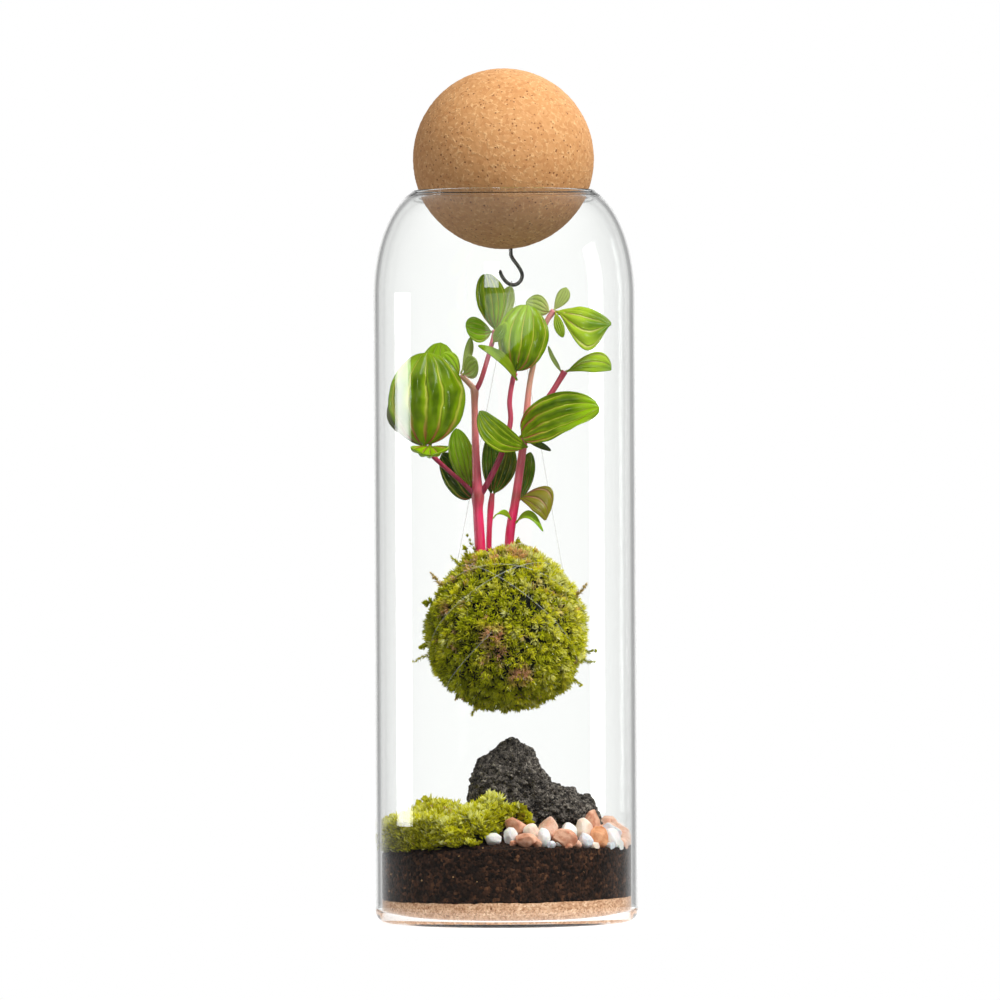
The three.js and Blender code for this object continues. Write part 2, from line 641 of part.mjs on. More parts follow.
// A blade runs from its base to its tip. `left` and `right` are where its two edges stand from
// the midrib at the widest place, so the blade may be cupped, folded or seen from the side.
// `arch` moves the middle of the midrib, and `fold` is 1 for a sharp fold and 2 for a round cup.
// `round` is small for a full outline; `roundRight` gives the right half an outline of its own.
const LEAVES = {
  leaf_big_left: {
    base: [-30.6, -8.9, 181.9], tip: [-29.2, -7, 216.6], left: [-13.6, 2.6, 0.8],
    right: [15, 4.6, -0.6], arch: [0, -5.5, 0], widest: 0.5, round: 0.5,
  },
  leaf_far_left: {
    base: [-30, -6.7, 181.2], tip: [-43.4, 7.6, 200], left: [-4, -3, -4],
    right: [5, 3, 4], arch: [-2, 0, 1.4], widest: 0.56, round: 0.6,
  },
  leaf_left_behind: {
    base: [-28.3, -6.9, 181.1], tip: [-24.2, 3.4, 220.6], left: [-7.4, 1, 1],
    right: [7.2, 1, -1], arch: [0, 4.4, 0], widest: 0.68, round: 0.5,
  },
  leaf_left_below: {
    base: [-28.3, -9.6, 180.7], tip: [-28.2, -25.4, 177.6], left: [-7.6, 0, 3.2],
    right: [7.4, 0, 3.4], arch: [0, 0, -2], widest: 0.5, round: 0.6,
  },
  leaf_tip_upright: {
    base: [-16.3, -0.7, 209.4], tip: [-12.8, 1.6, 222.6], left: [-1.7, 1.4, 0.4],
    right: [1.5, 1.4, -0.4], arch: [0.8, 0, 0], widest: 0.6, round: 0.7, fold: 1.2,
  },
  leaf_tip_right: {
    base: [-15.3, -2.2, 208.7], tip: [-10.4, -7, 213.4], left: [-1.6, 1, 3.2],
    right: [1.6, -2, -4.6], arch: [0.6, 0, 0.8], widest: 0.5, round: 0.6,
  },
  leaf_tip_left: {
    base: [-17.6, -1.8, 208], tip: [-23.6, -4.6, 216.2], left: [-2.6, -1, -1.8],
    right: [3, 1, 2.6], arch: [-0.6, 0, 0.8], widest: 0.5, round: 0.6,
  },
  leaf_top_left: {
    base: [-3.6, -3.7, 225.8], tip: [-6.8, -6.4, 246.4], left: [-5.4, 1.4, 0.2],
    right: [5.2, 3, 1.4], arch: [0.4, -2.2, 0], widest: 0.56, round: 0.52,
  },
  leaf_lime: {
    base: [-5.2, -2.9, 224.6], tip: [-14.6, -0.6, 226.6], left: [0.4, -1.6, -5.2],
    right: [-0.6, 1.4, 4.4], arch: [0, 0.8, 0], widest: 0.56, round: 0.5,
  },
  leaf_top_pale: {
    base: [-2.6, -2.5, 225.4], tip: [2.4, 7.4, 242], left: [-3, 0.8, 0.6],
    right: [3.2, 0.4, -0.6], arch: [0, 2.8, 0], widest: 0.6, round: 0.55,
  },
  leaf_small_light: {
    base: [-3.9, -4.5, 220.7], tip: [0.8, -11.8, 228], left: [-1.8, -0.4, 1],
    right: [1.6, -0.6, -1.6], arch: [0, -1.8, 0], widest: 0.5, round: 0.6,
  },
  leaf_big_centre: {
    base: [4.3, -5.2, 209.8], tip: [8.8, -1.5, 234.6], left: [-8.8, 3, 1.8],
    right: [9.8, 3.4, -2], arch: [0, -4.4, 0], widest: 0.5, round: 0.5,
  },
  leaf_edge_on: {
    base: [4.4, -7.1, 206.8], tip: [-9.8, -16.5, 219.2], left: [-1.3, -4.4, -1.4],
    right: [1, 3.2, 1.4], arch: [1.4, -0.6, 1.6], widest: 0.5, round: 0.6,
  },
  leaf_right_rear: {
    base: [16.9, -0.2, 232.3], tip: [8.4, 2.8, 235.8], left: [-0.8, -1.4, -3.8],
    right: [1.4, 1.4, 3.6], arch: [0, 0.6, 0.6], widest: 0.52, round: 0.52,
  },
  leaf_right_upright: {
    base: [19.2, -0.8, 233], tip: [23.8, 0, 241.2], left: [-2.2, 0.2, 1],
    right: [2.2, 0.2, -1], arch: [0.6, 0, 0], widest: 0.6, round: 0.55,
  },
  leaf_right_folded: {
    base: [20.3, -1.3, 232], tip: [40.4, -4.6, 226.8], left: [2.4, 4, 2.4],
    right: [0.6, -4.6, -12.8], arch: [0, -1.6, 0.6], widest: 0.5, round: 0.5, fold: 1.3,
    roundRight: 1.3,
  },
  leaf_right_drooping: {
    base: [19.6, -2.6, 231.3], tip: [22.2, -5.6, 222.2], left: [-1.8, 0.3, -0.4],
    right: [1.8, -0.4, 0.4], arch: [-0.2, -1, 0], widest: 0.55, round: 0.6,
  },
  leaf_sliver: {
    base: [21.4, 1.2, 209.7], tip: [16.8, 2.8, 219], left: [-0.7, -2.2, -0.4],
    right: [0.7, 2.2, 0.4], arch: [-0.2, 0, -0.6], widest: 0.5, round: 0.6,
  },
  leaf_right_small: {
    base: [24.2, 0.3, 209.5], tip: [40.6, -2.4, 210], left: [1.6, 3.6, 6.4],
    right: [0.4, -4.6, -1], arch: [0, 0, 0.6], widest: 0.6, round: 0.55, fold: 1.2,
  },
  leaf_big_right: {
    base: [6.5, -1.9, 184.8], tip: [35.6, -9.6, 195.6], left: [-2.8, 2.6, 9.2],
    right: [1.6, -7.6, -6.2], arch: [0, -3.2, 1.6], widest: 0.42, round: 0.44, fold: 1.5,
  },
  leaf_curled: {
    base: [7.9, -2.1, 180.8], tip: [-9.6, -10.4, 194.2], left: [-3.4, -4, -5],
    right: [3, 3, 3], arch: [-1.2, -4, -2.2], widest: 0.55, round: 0.5,
  },
  leaf_narrow_right: {
    base: [9.1, 0.3, 182.7], tip: [17.6, 3.8, 179.2], left: [0.2, -1.8, 1.2],
    right: [-0.2, 1.8, -1.2], arch: [0, 0, 0.6], widest: 0.5, round: 0.6,
  },
  leaf_dark_low: {
    base: [-12.5, -0.1, 161.8], tip: [-24, 3.6, 178.2], left: [-4.6, 1, -5.6],
    right: [3, 0.6, 3], arch: [1.2, 0.8, 0.6], widest: 0.5, round: 0.5,
  },
  leaf_left_inner: {
    base: [-13.1, 0, 165.6], tip: [-18.6, 0.8, 187.8], left: [-4.8, 0.2, -2],
    right: [4.2, 0.4, 1], arch: [0, 0.2, 0], widest: 0.56, round: 0.55,
  },
  leaf_centre_low: {
    base: [-4, 3.7, 163.3], tip: [1.4, 5.6, 182.6], left: [-4.2, 1.2, 0.8],
    right: [4.4, 1.2, -0.8], arch: [1, 1, 0], widest: 0.5, round: 0.55,
  },
  leaf_centre_behind: {
    base: [-5.4, 4.7, 163.1], tip: [-5.2, 12, 186], left: [-3.4, 1, 0],
    right: [3.4, 1, 0], arch: [0, 2.4, 0], widest: 0.56, round: 0.55,
  },
  leaf_right_inner: {
    base: [5.6, 2.1, 161], tip: [9.8, 9, 178.6], left: [-3.4, 1, 0.6],
    right: [3.4, 1, -0.6], arch: [0, 2, 0], widest: 0.5, round: 0.55,
  },
  leaf_olive: {
    base: [6.2, -0.5, 160.9], tip: [15.6, -3.6, 153], left: [-0.8, -3, -1.2],
    right: [5, 2.4, 7.6], arch: [1, -2, 1], widest: 0.56, round: 0.48,
  },
  leaf_lime_left: {
    base: [1.8, -2, 153.8], tip: [-4.6, -8.6, 153.4], left: [-1, -1.2, -0.8],
    right: [1, 1, 0.8], arch: [0, 0, 2.4], widest: 0.5, round: 0.6,
  },
  leaf_lime_right: {
    base: [4.6, -1.4, 152.4], tip: [14.4, -6.2, 148.6], left: [-0.4, -2.6, -1.2],
    right: [0.4, 2.6, 1.6], arch: [0, 0, 4], widest: 0.5, round: 0.6,
  },
};

// The middle surface of a blade, row by row from its base, each row from its left edge.
function bladeGrid(spec, rows) {
  const [base, tip, left, right, arch] = [spec.base, spec.tip, spec.left, spec.right, spec.arch].map(
    (values) => new THREE.Vector3(...values),
  );
  const { round, roundRight = round, fold = 2 } = spec;
  const skew = Math.log(0.5) / Math.log(spec.widest);
  return Array.from({ length: rows + 1 }, (_, i) => {
    const u = i / rows;
    const swell = Math.sin(Math.PI * Math.pow(u, skew));
    const leftEdge = left.clone().multiplyScalar(Math.max(Math.pow(swell, round), LEAF_NECK));
    const rightEdge = right.clone().multiplyScalar(Math.max(Math.pow(swell, roundRight), LEAF_NECK));
    const across = rightEdge.clone().sub(leftEdge).divideScalar(2);
    const cup = rightEdge.clone().add(leftEdge).divideScalar(2);
    const rib = base.clone().lerp(tip, u).addScaledVector(arch, 4 * u * (1 - u));
    return Array.from({ length: LEAF_COLUMNS + 1 }, (_unused, j) => {
      const v = 2 * j / LEAF_COLUMNS - 1;
      return rib.clone().addScaledVector(across, v).addScaledVector(cup, Math.pow(Math.abs(v), fold));
    });
  });
}

function leafBlade(spec, rows) {
  const grid = bladeGrid(spec, rows);
  const normalAt = (i, j) => {
    const along = grid[Math.min(i + 1, rows)][j].clone().sub(grid[Math.max(i - 1, 0)][j]);
    const row = grid[i];
    const over = row[Math.min(j + 1, LEAF_COLUMNS)].clone().sub(row[Math.max(j - 1, 0)]);
    return along.cross(over).normalize();
  };
  const half = LEAF_THICKNESS / 2;
  const faces = [-half, half].map((side) => grid.map((row, i) => row.map(
    (point, j) => point.clone().addScaledVector(normalAt(i, j), side),
  )));
  const positions = faces.flat(2).flatMap((point) => [point.x, point.y, point.z]);
  const columns = LEAF_COLUMNS + 1;
  const layer = (rows + 1) * columns;
  const index = [];
  const quad = (a, b, c, d) => index.push(a, b, c, a, c, d);
  for (let i = 0; i < rows; i += 1) {
    for (let j = 0; j < LEAF_COLUMNS; j += 1) {
      const a = i * columns + j;
      const b = a + layer;
      quad(a, a + 1, a + columns + 1, a + columns);
      quad(b, b + columns, b + columns + 1, b + 1);
    }
    const start = i * columns;
    const end = start + LEAF_COLUMNS;
    quad(start, start + columns, start + columns + layer, start + layer);
    quad(end, end + layer, end + columns + layer, end + columns);
  }
  for (let j = 0; j < LEAF_COLUMNS; j += 1) {
    const last = rows * columns + j;
    quad(j, j + layer, j + 1 + layer, j + 1);
    quad(last, last + 1, last + 1 + layer, last + layer);
  }
  const geometry = new THREE.BufferGeometry();
  geometry.setAttribute('position', new THREE.Float32BufferAttribute(positions, 3));
  geometry.setIndex(index);
  geometry.computeVertexNormals();
  return geometry;
}

// ---------------------------------------------------------------- ground

function sandHeight(x, y) {
  const { height, size, phase } = SAND_WAVE;
  return SAND_TOP + SAND_SLOPE * x + height * lumps(x, y, 0, size, phase);
}

function soilHeight(x, y) {
  const { height, size, phase } = SOIL_WAVE;
  const inward = 1 - Math.hypot(x, y) / FILL_RADIUS;
  const crown = SOIL_CROWN * THREE.MathUtils.smoothstep(inward, 0, CROWN_REACH);
  const sink = (x < 0 ? SOIL_SINK.left : SOIL_SINK.right) * Math.pow(x / FILL_RADIUS, 2);
  return SOIL_EDGE - sink + crown + height * lumps(x, y, 0, size, phase);
}

// A closed ring of points over the jar's floor; the height is given over x and y.
function groundRing(radius, height) {
  return Array.from({ length: JAR_SEGMENTS }, (_, i) => {
    const angle = 2 * Math.PI * i / JAR_SEGMENTS;
    const x = radius * Math.sin(angle);
    const y = -radius * Math.cos(angle);
    return new THREE.Vector3(x, y, height(x, y));
  });
}

function groundRings(radius, height) {
  return [radius, ...FILLING_RINGS].map((each) => groundRing(each, height));
}

function sandLayer() {
  const floor = JAR_BASE + GAP;
  const foot = [[1, 0], [CORNER_CUT, CORNER_CUT], [0, 1]].map(([inset, lift]) => groundRing(
    FILL_RADIUS - inset * FLOOR_ROUNDING, () => floor + lift * FLOOR_ROUNDING,
  ));
  return loft([...foot, ...groundRings(FILL_RADIUS, sandHeight)]);
}

function soilLayer() {
  const bottom = groundRings(FILL_RADIUS, (x, y) => sandHeight(x, y) + FACETED_GAP).reverse();
  return loft([...bottom, ...groundRings(FILL_RADIUS, soilHeight)]);
}

// The soil with its surface lifted by the clearance: what lies on the soil is cut by it.
function soilCutter() {
  const radius = FILL_RADIUS + SOIL_CUTTER_REACH;
  const bottom = groundRings(radius, () => 0).reverse();
  return loft([...bottom, ...groundRings(radius, (x, y) => soilHeight(x, y) + LYING_GAP)]);
}

function groundMoss(neighbours) {
  const tuft = (at, draw) => THREE.MathUtils.lerp(...GROUND_TUFT, draw);
  const blobs = CUSHIONS.map(([x, y, wide, high, detail], order) => {
    const centre = new THREE.Vector3(x, y, soilHeight(x, y) - CUSHION_SINK);
    const radii = new THREE.Vector3(wide, wide, high - CUSHION_SKIN);
    return tufted(centre, radii, detail, CUSHION_SEED + order, tuft);
  });
  const room = new THREE.CylinderGeometry(FILL_RADIUS, FILL_RADIUS, SHOULDER_START, JAR_SEGMENTS);
  room.rotateX(Math.PI / 2).translate(0, 0, SHOULDER_START / 2);
  let moss = solidOf(join(blobs)).intersect(solidOf(room));
  for (const cutter of [soilCutter(), ...neighbours]) {
    moss = moss.subtract(solidOf(cutter));
  }
  return geometryOf(moss);
}

// A power of a sine or cosine that keeps its sign: below 1 it makes a round squarer.
function squared(value, power) {
  return Math.sign(value) * Math.pow(Math.abs(value), power);
}

function lavaRock(grow = 0) {
  const ridge = new THREE.CatmullRomCurve3(ROCK_RIDGE.map((row) => new THREE.Vector3(...row)));
  const [coarse, fine] = ROCK_LUMPS;
  const rings = [];
  for (let i = 0; i <= ROCK_SLICES; i += 1) {
    const { x, y: height, z: depth } = ridge.getPoint(i / ROCK_SLICES);
    const endwise = grow * (2 * i / ROCK_SLICES - 1);
    const ring = [];
    for (let j = 0; j < ROCK_SIDES; j += 1) {
      const angle = 2 * Math.PI * j / ROCK_SIDES;
      const up = Math.sin(angle);
      const side = Math.cos(angle);
      const y = ROCK_MIDDLE + depth * squared(side, ROCK_SQUARENESS.deep);
      const half = (height - ROCK_FOOT) / 2;
      const z = ROCK_FOOT + half + half * squared(up, ROCK_SQUARENESS.high);
      const lump = coarse.height * lumps(x, y, z, coarse.size, coarse.phase)
        + fine.height * lumps(z, x, y, fine.size, fine.phase);
      ring.push(new THREE.Vector3(
        x + endwise + ROCK_LUMP_DRIFT * lump, y + (grow + lump) * side, z + (grow + lump) * up,
      ));
    }
    rings.push(ring);
  }
  return loft(rings);
}

// ---------------------------------------------------------------- pebbles

function pebble(spec, seed, grow = 0) {
  const [, x, y, width, depth, height, turn] = spec;
  const geometry = weld(new THREE.DodecahedronGeometry(0.5, 0));
  const position = geometry.attributes.position;
  for (let i = 0; i < position.count; i += 1) {
    const point = new THREE.Vector3().fromBufferAttribute(position, i);
    const wear = PEBBLE_WEAR.height * lumps(point.x, point.y, point.z, PEBBLE_WEAR.size, seed);
    point.multiplyScalar(1 + wear);
    position.setXYZ(i, point.x, point.y, point.z);
  }
  geometry.scale(width + grow, depth + grow, height + grow);
  geometry.rotateZ(turn * DEGREE);
  geometry.translate(x, y, soilHeight(x, y) + PEBBLE_SEAT * height);
  return grow > 0 ? geometry : cutAway(geometry, [soilCutter()]);
}

function rearPebbles() {
  const random = randomStream(REAR.seed);
  const blobs = [];
  for (let i = 0; i < REAR.count; i += 1) {
    const angle = REAR.start + REAR.spacing * i;
    const reach = REAR.reach[i % 2] + REAR.spread * random();
    const x = reach * Math.cos(angle);
    const y = reach * Math.sin(angle);
    const { lift, shape } = i < HEAP.count ? HEAP : ROW;
    const stone = new THREE.DodecahedronGeometry((REAR.size + REAR.spread * random()) / 2, 0);
    stone.scale(...shape).rotateZ(angle + Math.PI / 2);
    stone.translate(x, y, soilHeight(x, y) + lift);
    blobs.push(stone);
  }
  return cutAway(join(blobs), [soilCutter()]);
}

// ---------------------------------------------------------------- the scene graph

const terrarium = new THREE.Group();

function addPiece(name, geometry, colour, roughness, extras = {}) {
  const material = new THREE.MeshStandardMaterial({ color: colour, roughness, ...extras });
  const mesh = new THREE.Mesh(geometry, material);
  mesh.name = name;
  terrarium.add(mesh);
  return mesh;
}

addPiece('glass_jar', turned(jarProfile(), JAR_SEGMENTS), 0xe8f2f0, 0.05, {
  transparent: true,
  opacity: 0.3,
});
const cork = addPiece('cork_ball', corkBall(), 0xc49565, 0.85);
cork.position.copy(corkCentre);
cork.rotation.y = -CORK_ROLL;
addPiece('screw_hook', cordTube(hookPoints(), HOOK_WIRE, HOOK_SIDES), 0x4a4a48, 0.35, {
  metalness: 1,
});
addPiece('hanging_thread', cordTube(hangingThreadPoints(), THREAD, THREAD_SIDES), 0xdfe4e2, 0.3);
addPiece('winding_thread', cordTube(windingPoints(), THREAD, THREAD_SIDES), 0xdfe4e2, 0.3);

const stemNames = Object.keys(STEMS);
addPiece('moss_ball', mossShell(), 0x6f8f1e, 0.9);
addPiece('root_ball', rootBall(stemNames.map((name) => stemGeometry(name, GAP))), 0x3a281c, 0.95);
for (const name of stemNames) {
  addPiece(name, stemGeometry(name), 0xd8487a, 0.5);
}
for (const [name, spec] of Object.entries(LEAVES)) {
  const length = new THREE.Vector3(...spec.base).distanceTo(new THREE.Vector3(...spec.tip));
  const rows = length > LARGE_LEAF ? LEAF_ROWS.large : LEAF_ROWS.small;
  addPiece(name, leafBlade(spec, rows), 0x5f9a1a, 0.4);
}

addPiece('sand_layer', sandLayer(), 0xdcb48c, 0.95);
addPiece('soil_layer', soilLayer(), 0x33241a, 0.95);
addPiece('lava_rock', cutAway(lavaRock(), [soilCutter()]), 0x2f3336, 0.9);
const besideMoss = PEBBLES.flatMap((spec, order) => (
  BESIDE_MOSS.includes(spec[0]) ? [pebble(spec, order, 3 * GAP)] : []
));
addPiece('ground_moss', groundMoss([lavaRock(4 * GAP), ...besideMoss]), 0x7f9f22, 0.9);
PEBBLES.forEach((spec, order) => {
  addPiece(`pebble_${spec[0]}`, pebble(spec, order), spec[7], 0.6);
});
addPiece('pebbles_rear', rearPebbles(), PEACH, 0.6);

export default terrarium;
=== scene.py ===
"""The looks of a glass plant terrarium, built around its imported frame.

A ball of moss with a leafy plant hangs on a clear thread in a tall glass jar that a cork ball
closes. Sand, soil, moss cushions, a lava rock and pebbles lie on the floor of the jar.

Pieces are modelled in millimetres, and Assembly.deliver brings them to the frame's metres. The
front of the jar faces -Y.
"""

import logging
import math
from dataclasses import dataclass, replace
from enum import Enum
from functools import partial
from typing import Callable, Sequence

import bpy
import numpy as np
from bpy.types import Node, Object
from mathutils import Matrix, Vector, noise


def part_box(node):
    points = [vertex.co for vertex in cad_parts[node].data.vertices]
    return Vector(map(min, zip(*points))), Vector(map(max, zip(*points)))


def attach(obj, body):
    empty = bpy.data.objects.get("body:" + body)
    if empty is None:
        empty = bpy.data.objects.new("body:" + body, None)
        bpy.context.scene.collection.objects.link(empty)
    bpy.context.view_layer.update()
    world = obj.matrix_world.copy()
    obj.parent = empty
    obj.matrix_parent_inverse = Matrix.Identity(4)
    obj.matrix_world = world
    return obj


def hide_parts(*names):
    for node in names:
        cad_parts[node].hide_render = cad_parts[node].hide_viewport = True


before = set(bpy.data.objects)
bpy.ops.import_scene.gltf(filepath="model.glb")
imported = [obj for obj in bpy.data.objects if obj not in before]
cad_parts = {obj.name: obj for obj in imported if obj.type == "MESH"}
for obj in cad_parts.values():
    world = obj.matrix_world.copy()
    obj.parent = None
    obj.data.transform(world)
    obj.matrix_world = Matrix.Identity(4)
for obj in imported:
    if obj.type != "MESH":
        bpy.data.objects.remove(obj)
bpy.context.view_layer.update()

MM = 0.001
Colour = tuple[float, float, float, float]
Point = tuple[float, float, float]
Adder = Callable[..., Node]
Array = np.ndarray
log = logging.getLogger("terrarium")


# ---------------------------------------------------------------- small tools


def linear(colour: str | Colour) -> Colour:
    """Turns six hex digits of sRGB to a linear colour, and leaves any other value as it is.

    Args:
        colour: six hex digits, or any other value, which stays as it is.

    Returns:
        The linear colour with full alpha.
    """
    if not isinstance(colour, str):
        return colour
    parts = [int(colour[i:i + 2], 16) / 255 for i in (0, 2, 4)]
    return (*(p / 12.92 if p <= 0.04045 else ((p + 0.055) / 1.055) ** 2.4 for p in parts), 1.0)


def per_mm(size: float) -> float:
    """The scale that gives a pattern on Object coordinates a grain of this many millimetres."""
    return 1 / (size * MM)


def feed(node: Node, *values: object, **sockets: object) -> Node:
    """Sets a node's sockets.

    Args:
        node: the node.
        values: for its open sockets in order a value, a hex colour, or a node or output.
        sockets: the same for sockets by name, with _ for a space.

    Returns:
        The node.
    """
    ends = [socket for socket in node.inputs if socket.enabled][:len(values)]
    ends += [node.inputs[name.replace("_", " ")] for name in sockets]
    for end, value in zip(ends, [*values, *sockets.values()]):
        if isinstance(value, Node):
            value = next(output for output in value.outputs if output.enabled)
        if isinstance(value, bpy.types.NodeSocket):
            node.id_data.links.new(value, end)
        else:
            end.default_value = linear(value)
    return node


def add_node(
    tree: bpy.types.NodeTree, kind: str, *values: object,
    stops: Sequence[tuple[float, str | Colour]] = (), **settings: object,
) -> Node:
    """Adds one node with its settings and links.

    Args:
        tree: the tree that the node joins.
        kind: the name of its type, without ShaderNode.
        values: what its sockets get, as feed takes it.
        stops: places and colours of a colour ramp.
        settings: sockets where the name has a capital, and otherwise properties of the node.

    Returns:
        The new node.
    """
    node = tree.nodes.new("ShaderNode" + kind)
    sockets = {}
    for name, value in settings.items():
        if name[0].isupper():
            sockets[name] = value
        else:
            setattr(node, name, value)
    if stops:
        elements = node.color_ramp.elements
        elements.remove(elements[1])
        elements[0].position, elements[0].color = stops[0][0], linear(stops[0][1])
        for place, colour in stops[1:]:
            elements.new(place).color = linear(colour)
    return feed(node, *values, **sockets)


def only(piece: Object) -> None:
    """Makes a piece the only selected one, and the active one.

    Args:
        piece: the object.
    """
    bpy.ops.object.select_all(action="DESELECT")
    piece.select_set(True)
    bpy.context.view_layer.objects.active = piece


def named(name: str) -> Object:
    """Names the object that an operator has just made, and its data.

    Args:
        name: the new name.

    Returns:
        The object.
    """
    piece = bpy.context.object
    piece.name = piece.data.name = name
    return piece


def linked(name: str, data: bpy.types.ID) -> Object:
    """Puts a new object in the scene.

    Args:
        name: its name.
        data: its mesh, curve, camera or light.

    Returns:
        The object.
    """
    piece = bpy.data.objects.new(name, data)
    bpy.context.scene.collection.objects.link(piece)
    return piece


def primitive(name: str, operator: Callable, **settings: object) -> Object:
    """Makes a mesh object with one of the primitive operators.

    Args:
        name: its name.
        operator: the operator.
        settings: what the operator is given.

    Returns:
        The object.
    """
    bpy.ops.object.select_all(action="DESELECT")
    operator(**settings)
    return named(name)


def modify(piece: Object, kind: str, **settings: object) -> None:
    """Adds a modifier to a piece and applies it.

    Args:
        piece: the mesh object.
        kind: the modifier's type.
        settings: its properties.
    """
    only(piece)
    modifier = piece.modifiers.new(kind.lower(), kind)
    for name, value in settings.items():
        setattr(modifier, name, value)
    bpy.ops.object.modifier_apply(modifier=modifier.name)


def edit(piece: Object, *steps: Callable[[], object]) -> None:
    """Runs edit-mode steps on the whole of a piece.

    Args:
        piece: the mesh object.
        steps: calls that act on what is selected.
    """
    only(piece)
    bpy.ops.object.mode_set(mode="EDIT")
    bpy.ops.mesh.select_all(action="SELECT")
    for step in steps:
        step()
    bpy.ops.object.mode_set(mode="OBJECT")


def merge(threshold: float) -> Callable[[], object]:
    """An edit step that merges close points and turns the faces outwards.

    Args:
        threshold: how close they lie.

    Returns:
        The step.
    """
    def step() -> None:
        """Merges, then recalculates."""
        bpy.ops.mesh.remove_doubles(threshold=threshold)
        bpy.ops.mesh.normals_make_consistent(inside=False)
    return step


def points_of(piece: Object, field: str = "co") -> Array:
    """The points of a piece, or its normals.

    Args:
        piece: the mesh object.
        field: co for points, normal for normals.

    Returns:
        An array of three columns.
    """
    flat = np.empty(len(piece.data.vertices) * 3)
    piece.data.vertices.foreach_get(field, flat)
    return flat.reshape(-1, 3)


def set_points(piece: Object, points: Array) -> None:
    """Moves the points of a piece."""
    piece.data.vertices.foreach_set("co", points.ravel())
    piece.data.update()


def displace(piece: Object, lift: Array) -> None:
    """Moves the points of a piece along their normals."""
    set_points(piece, points_of(piece) + points_of(piece, "normal") * lift[:, None])


def unit(vectors: Array) -> Array:
    """Vectors brought to length one."""
    return vectors / np.maximum(np.linalg.norm(vectors, axis=-1, keepdims=True), 1e-9)


def spiral(count: int, depth: float) -> Array:
    """Unit vectors spread evenly from the top of a ball downwards.

    Args:
        count: how many.
        depth: how far down, of which 2 is the whole ball.

    Returns:
        The vectors.
    """
    order = np.arange(count) + 0.5
    up = 1 - depth * order / count
    turn = order * math.pi * (3 - math.sqrt(5))
    level = np.sqrt(1 - up ** 2)
    return np.stack([level * np.cos(turn), level * np.sin(turn), up], 1)


def swirl(points: Array, size: float, octaves: int, seed: float) -> Array:
    """Smooth noise from about -1 to 1 at each point.

    Args:
        points: where, in millimetres.
        size: the size of the largest lumps.
        octaves: how many finer layers lie on them.
        seed: moves the pattern to another place.

    Returns:
        One value for each point.
    """
    shift = Vector((seed * 7.3, seed * 3.1, seed * 5.7))
    return np.array([
        noise.fractal(Vector(p) / size + shift, 1.0, 2.0, octaves) for p in points.tolist()
    ])


def pits(points: Array, size: float, seed: float) -> Array:
    """How deep each point lies in a field of round pits.

    Args:
        points: where, in millimetres.
        size: the spacing of the pits.
        seed: moves the pattern to another place.

    Returns:
        For each point 1 in the middle of a pit and 0 outside.
    """
    shift = Vector((seed * 5.1, seed * 9.7, seed * 2.9))
    near = np.array([noise.voronoi(Vector(p) / size + shift)[0][0] for p in points.tolist()])
    return np.clip(1 - (near / 0.55) ** 2, 0, 1)


def lumps(x: Array, y: Array, size: float, phase: float) -> Array:
    """The slow swell of the ground, as the frame has it.

    Args:
        x: where, in millimetres.
        y: where, in millimetres.
        size: the length of a swell.
        phase: moves the pattern.

    Returns:
        Heights from -1 to 1.
    """
    k = 2 * math.pi / size
    a = np.sin(k * x + phase) * np.cos(k * (y - 0.23 * x) + 1.7 * phase)
    b = np.sin(k * 0.55 * y + 2.3 * phase + 1.1)
    c = np.cos(k * (0.9 * x - 0.7 * y) + 0.6 * phase)
    return (a + b + c) / 3


def smoothstep(value: Array, low: float, high: float) -> Array:
    """A smooth rise from 0 at low to 1 at high."""
    t = np.clip((value - low) / (high - low), 0, 1)
    return t * t * (3 - 2 * t)


def level_reach(points: Array) -> Array:
    """How far each point lies from the jar's axis."""
    return np.hypot(points[:, 0], points[:, 1])


def keep_within(points: Array, limit: float | Array) -> None:
    """Draws points that lie further from the jar's axis than a limit back to it."""
    points[:, :2] *= np.minimum(1, limit / np.maximum(level_reach(points), 1e-6))[:, None]


def route(points: Sequence[Sequence[float]], per_span: int) -> Array:
    """A smooth line through points.

    Args:
        points: what it goes through, with any number of columns.
        per_span: steps between two neighbours.

    Returns:
        The stations of the line.
    """
    knots = np.array([points[0], *points, points[-1]], float)
    knots[0] = 2 * knots[1] - knots[2]
    knots[-1] = 2 * knots[-2] - knots[-3]
    stations = []
    for a, b, c, d in zip(knots, knots[1:], knots[2:], knots[3:]):
        for t in np.arange(per_span) / per_span:
            stations.append(0.5 * (
                2 * b + (c - a) * t + (2 * a - 5 * b + 4 * c - d) * t ** 2
                + (3 * b - a - 3 * c + d) * t ** 3
            ))
    return np.array([*stations, points[-1]])


def cord_curve(name: str, stations: Array, radii: Array, sides: int) -> Object:
    """A round rod along a line, as one open spline.

    Args:
        name: the object's name.
        stations: points of its centreline.
        radii: its radius at each of them.
        sides: the roundness of its section.

    Returns:
        The curve object.
    """
    curve = bpy.data.curves.new(name, "CURVE")
    curve.dimensions = "3D"
    curve.bevel_depth = float(np.max(radii))
    curve.bevel_resolution = sides
    curve.use_fill_caps = True
    spline = curve.splines.new("POLY")
    spline.points.add(len(stations) - 1)
    spline.points.foreach_set("co", np.c_[stations, np.ones(len(stations))].ravel())
    spline.points.foreach_set("radius", radii / np.max(radii))
    return linked(name, curve)


def rod(name: str, stations: Array, radii: Array, sides: int) -> Object:
    """A round rod along a line, as a closed mesh.

    Args:
        name: the object's name.
        stations: points of its centreline.
        radii: its radius at each of them.
        sides: the roundness of its section.

    Returns:
        The mesh object.
    """
    only(cord_curve(name, stations, radii, sides))
    bpy.ops.object.convert(target="MESH")
    piece = bpy.context.object
    edit(piece, merge(0.0005))
    return piece


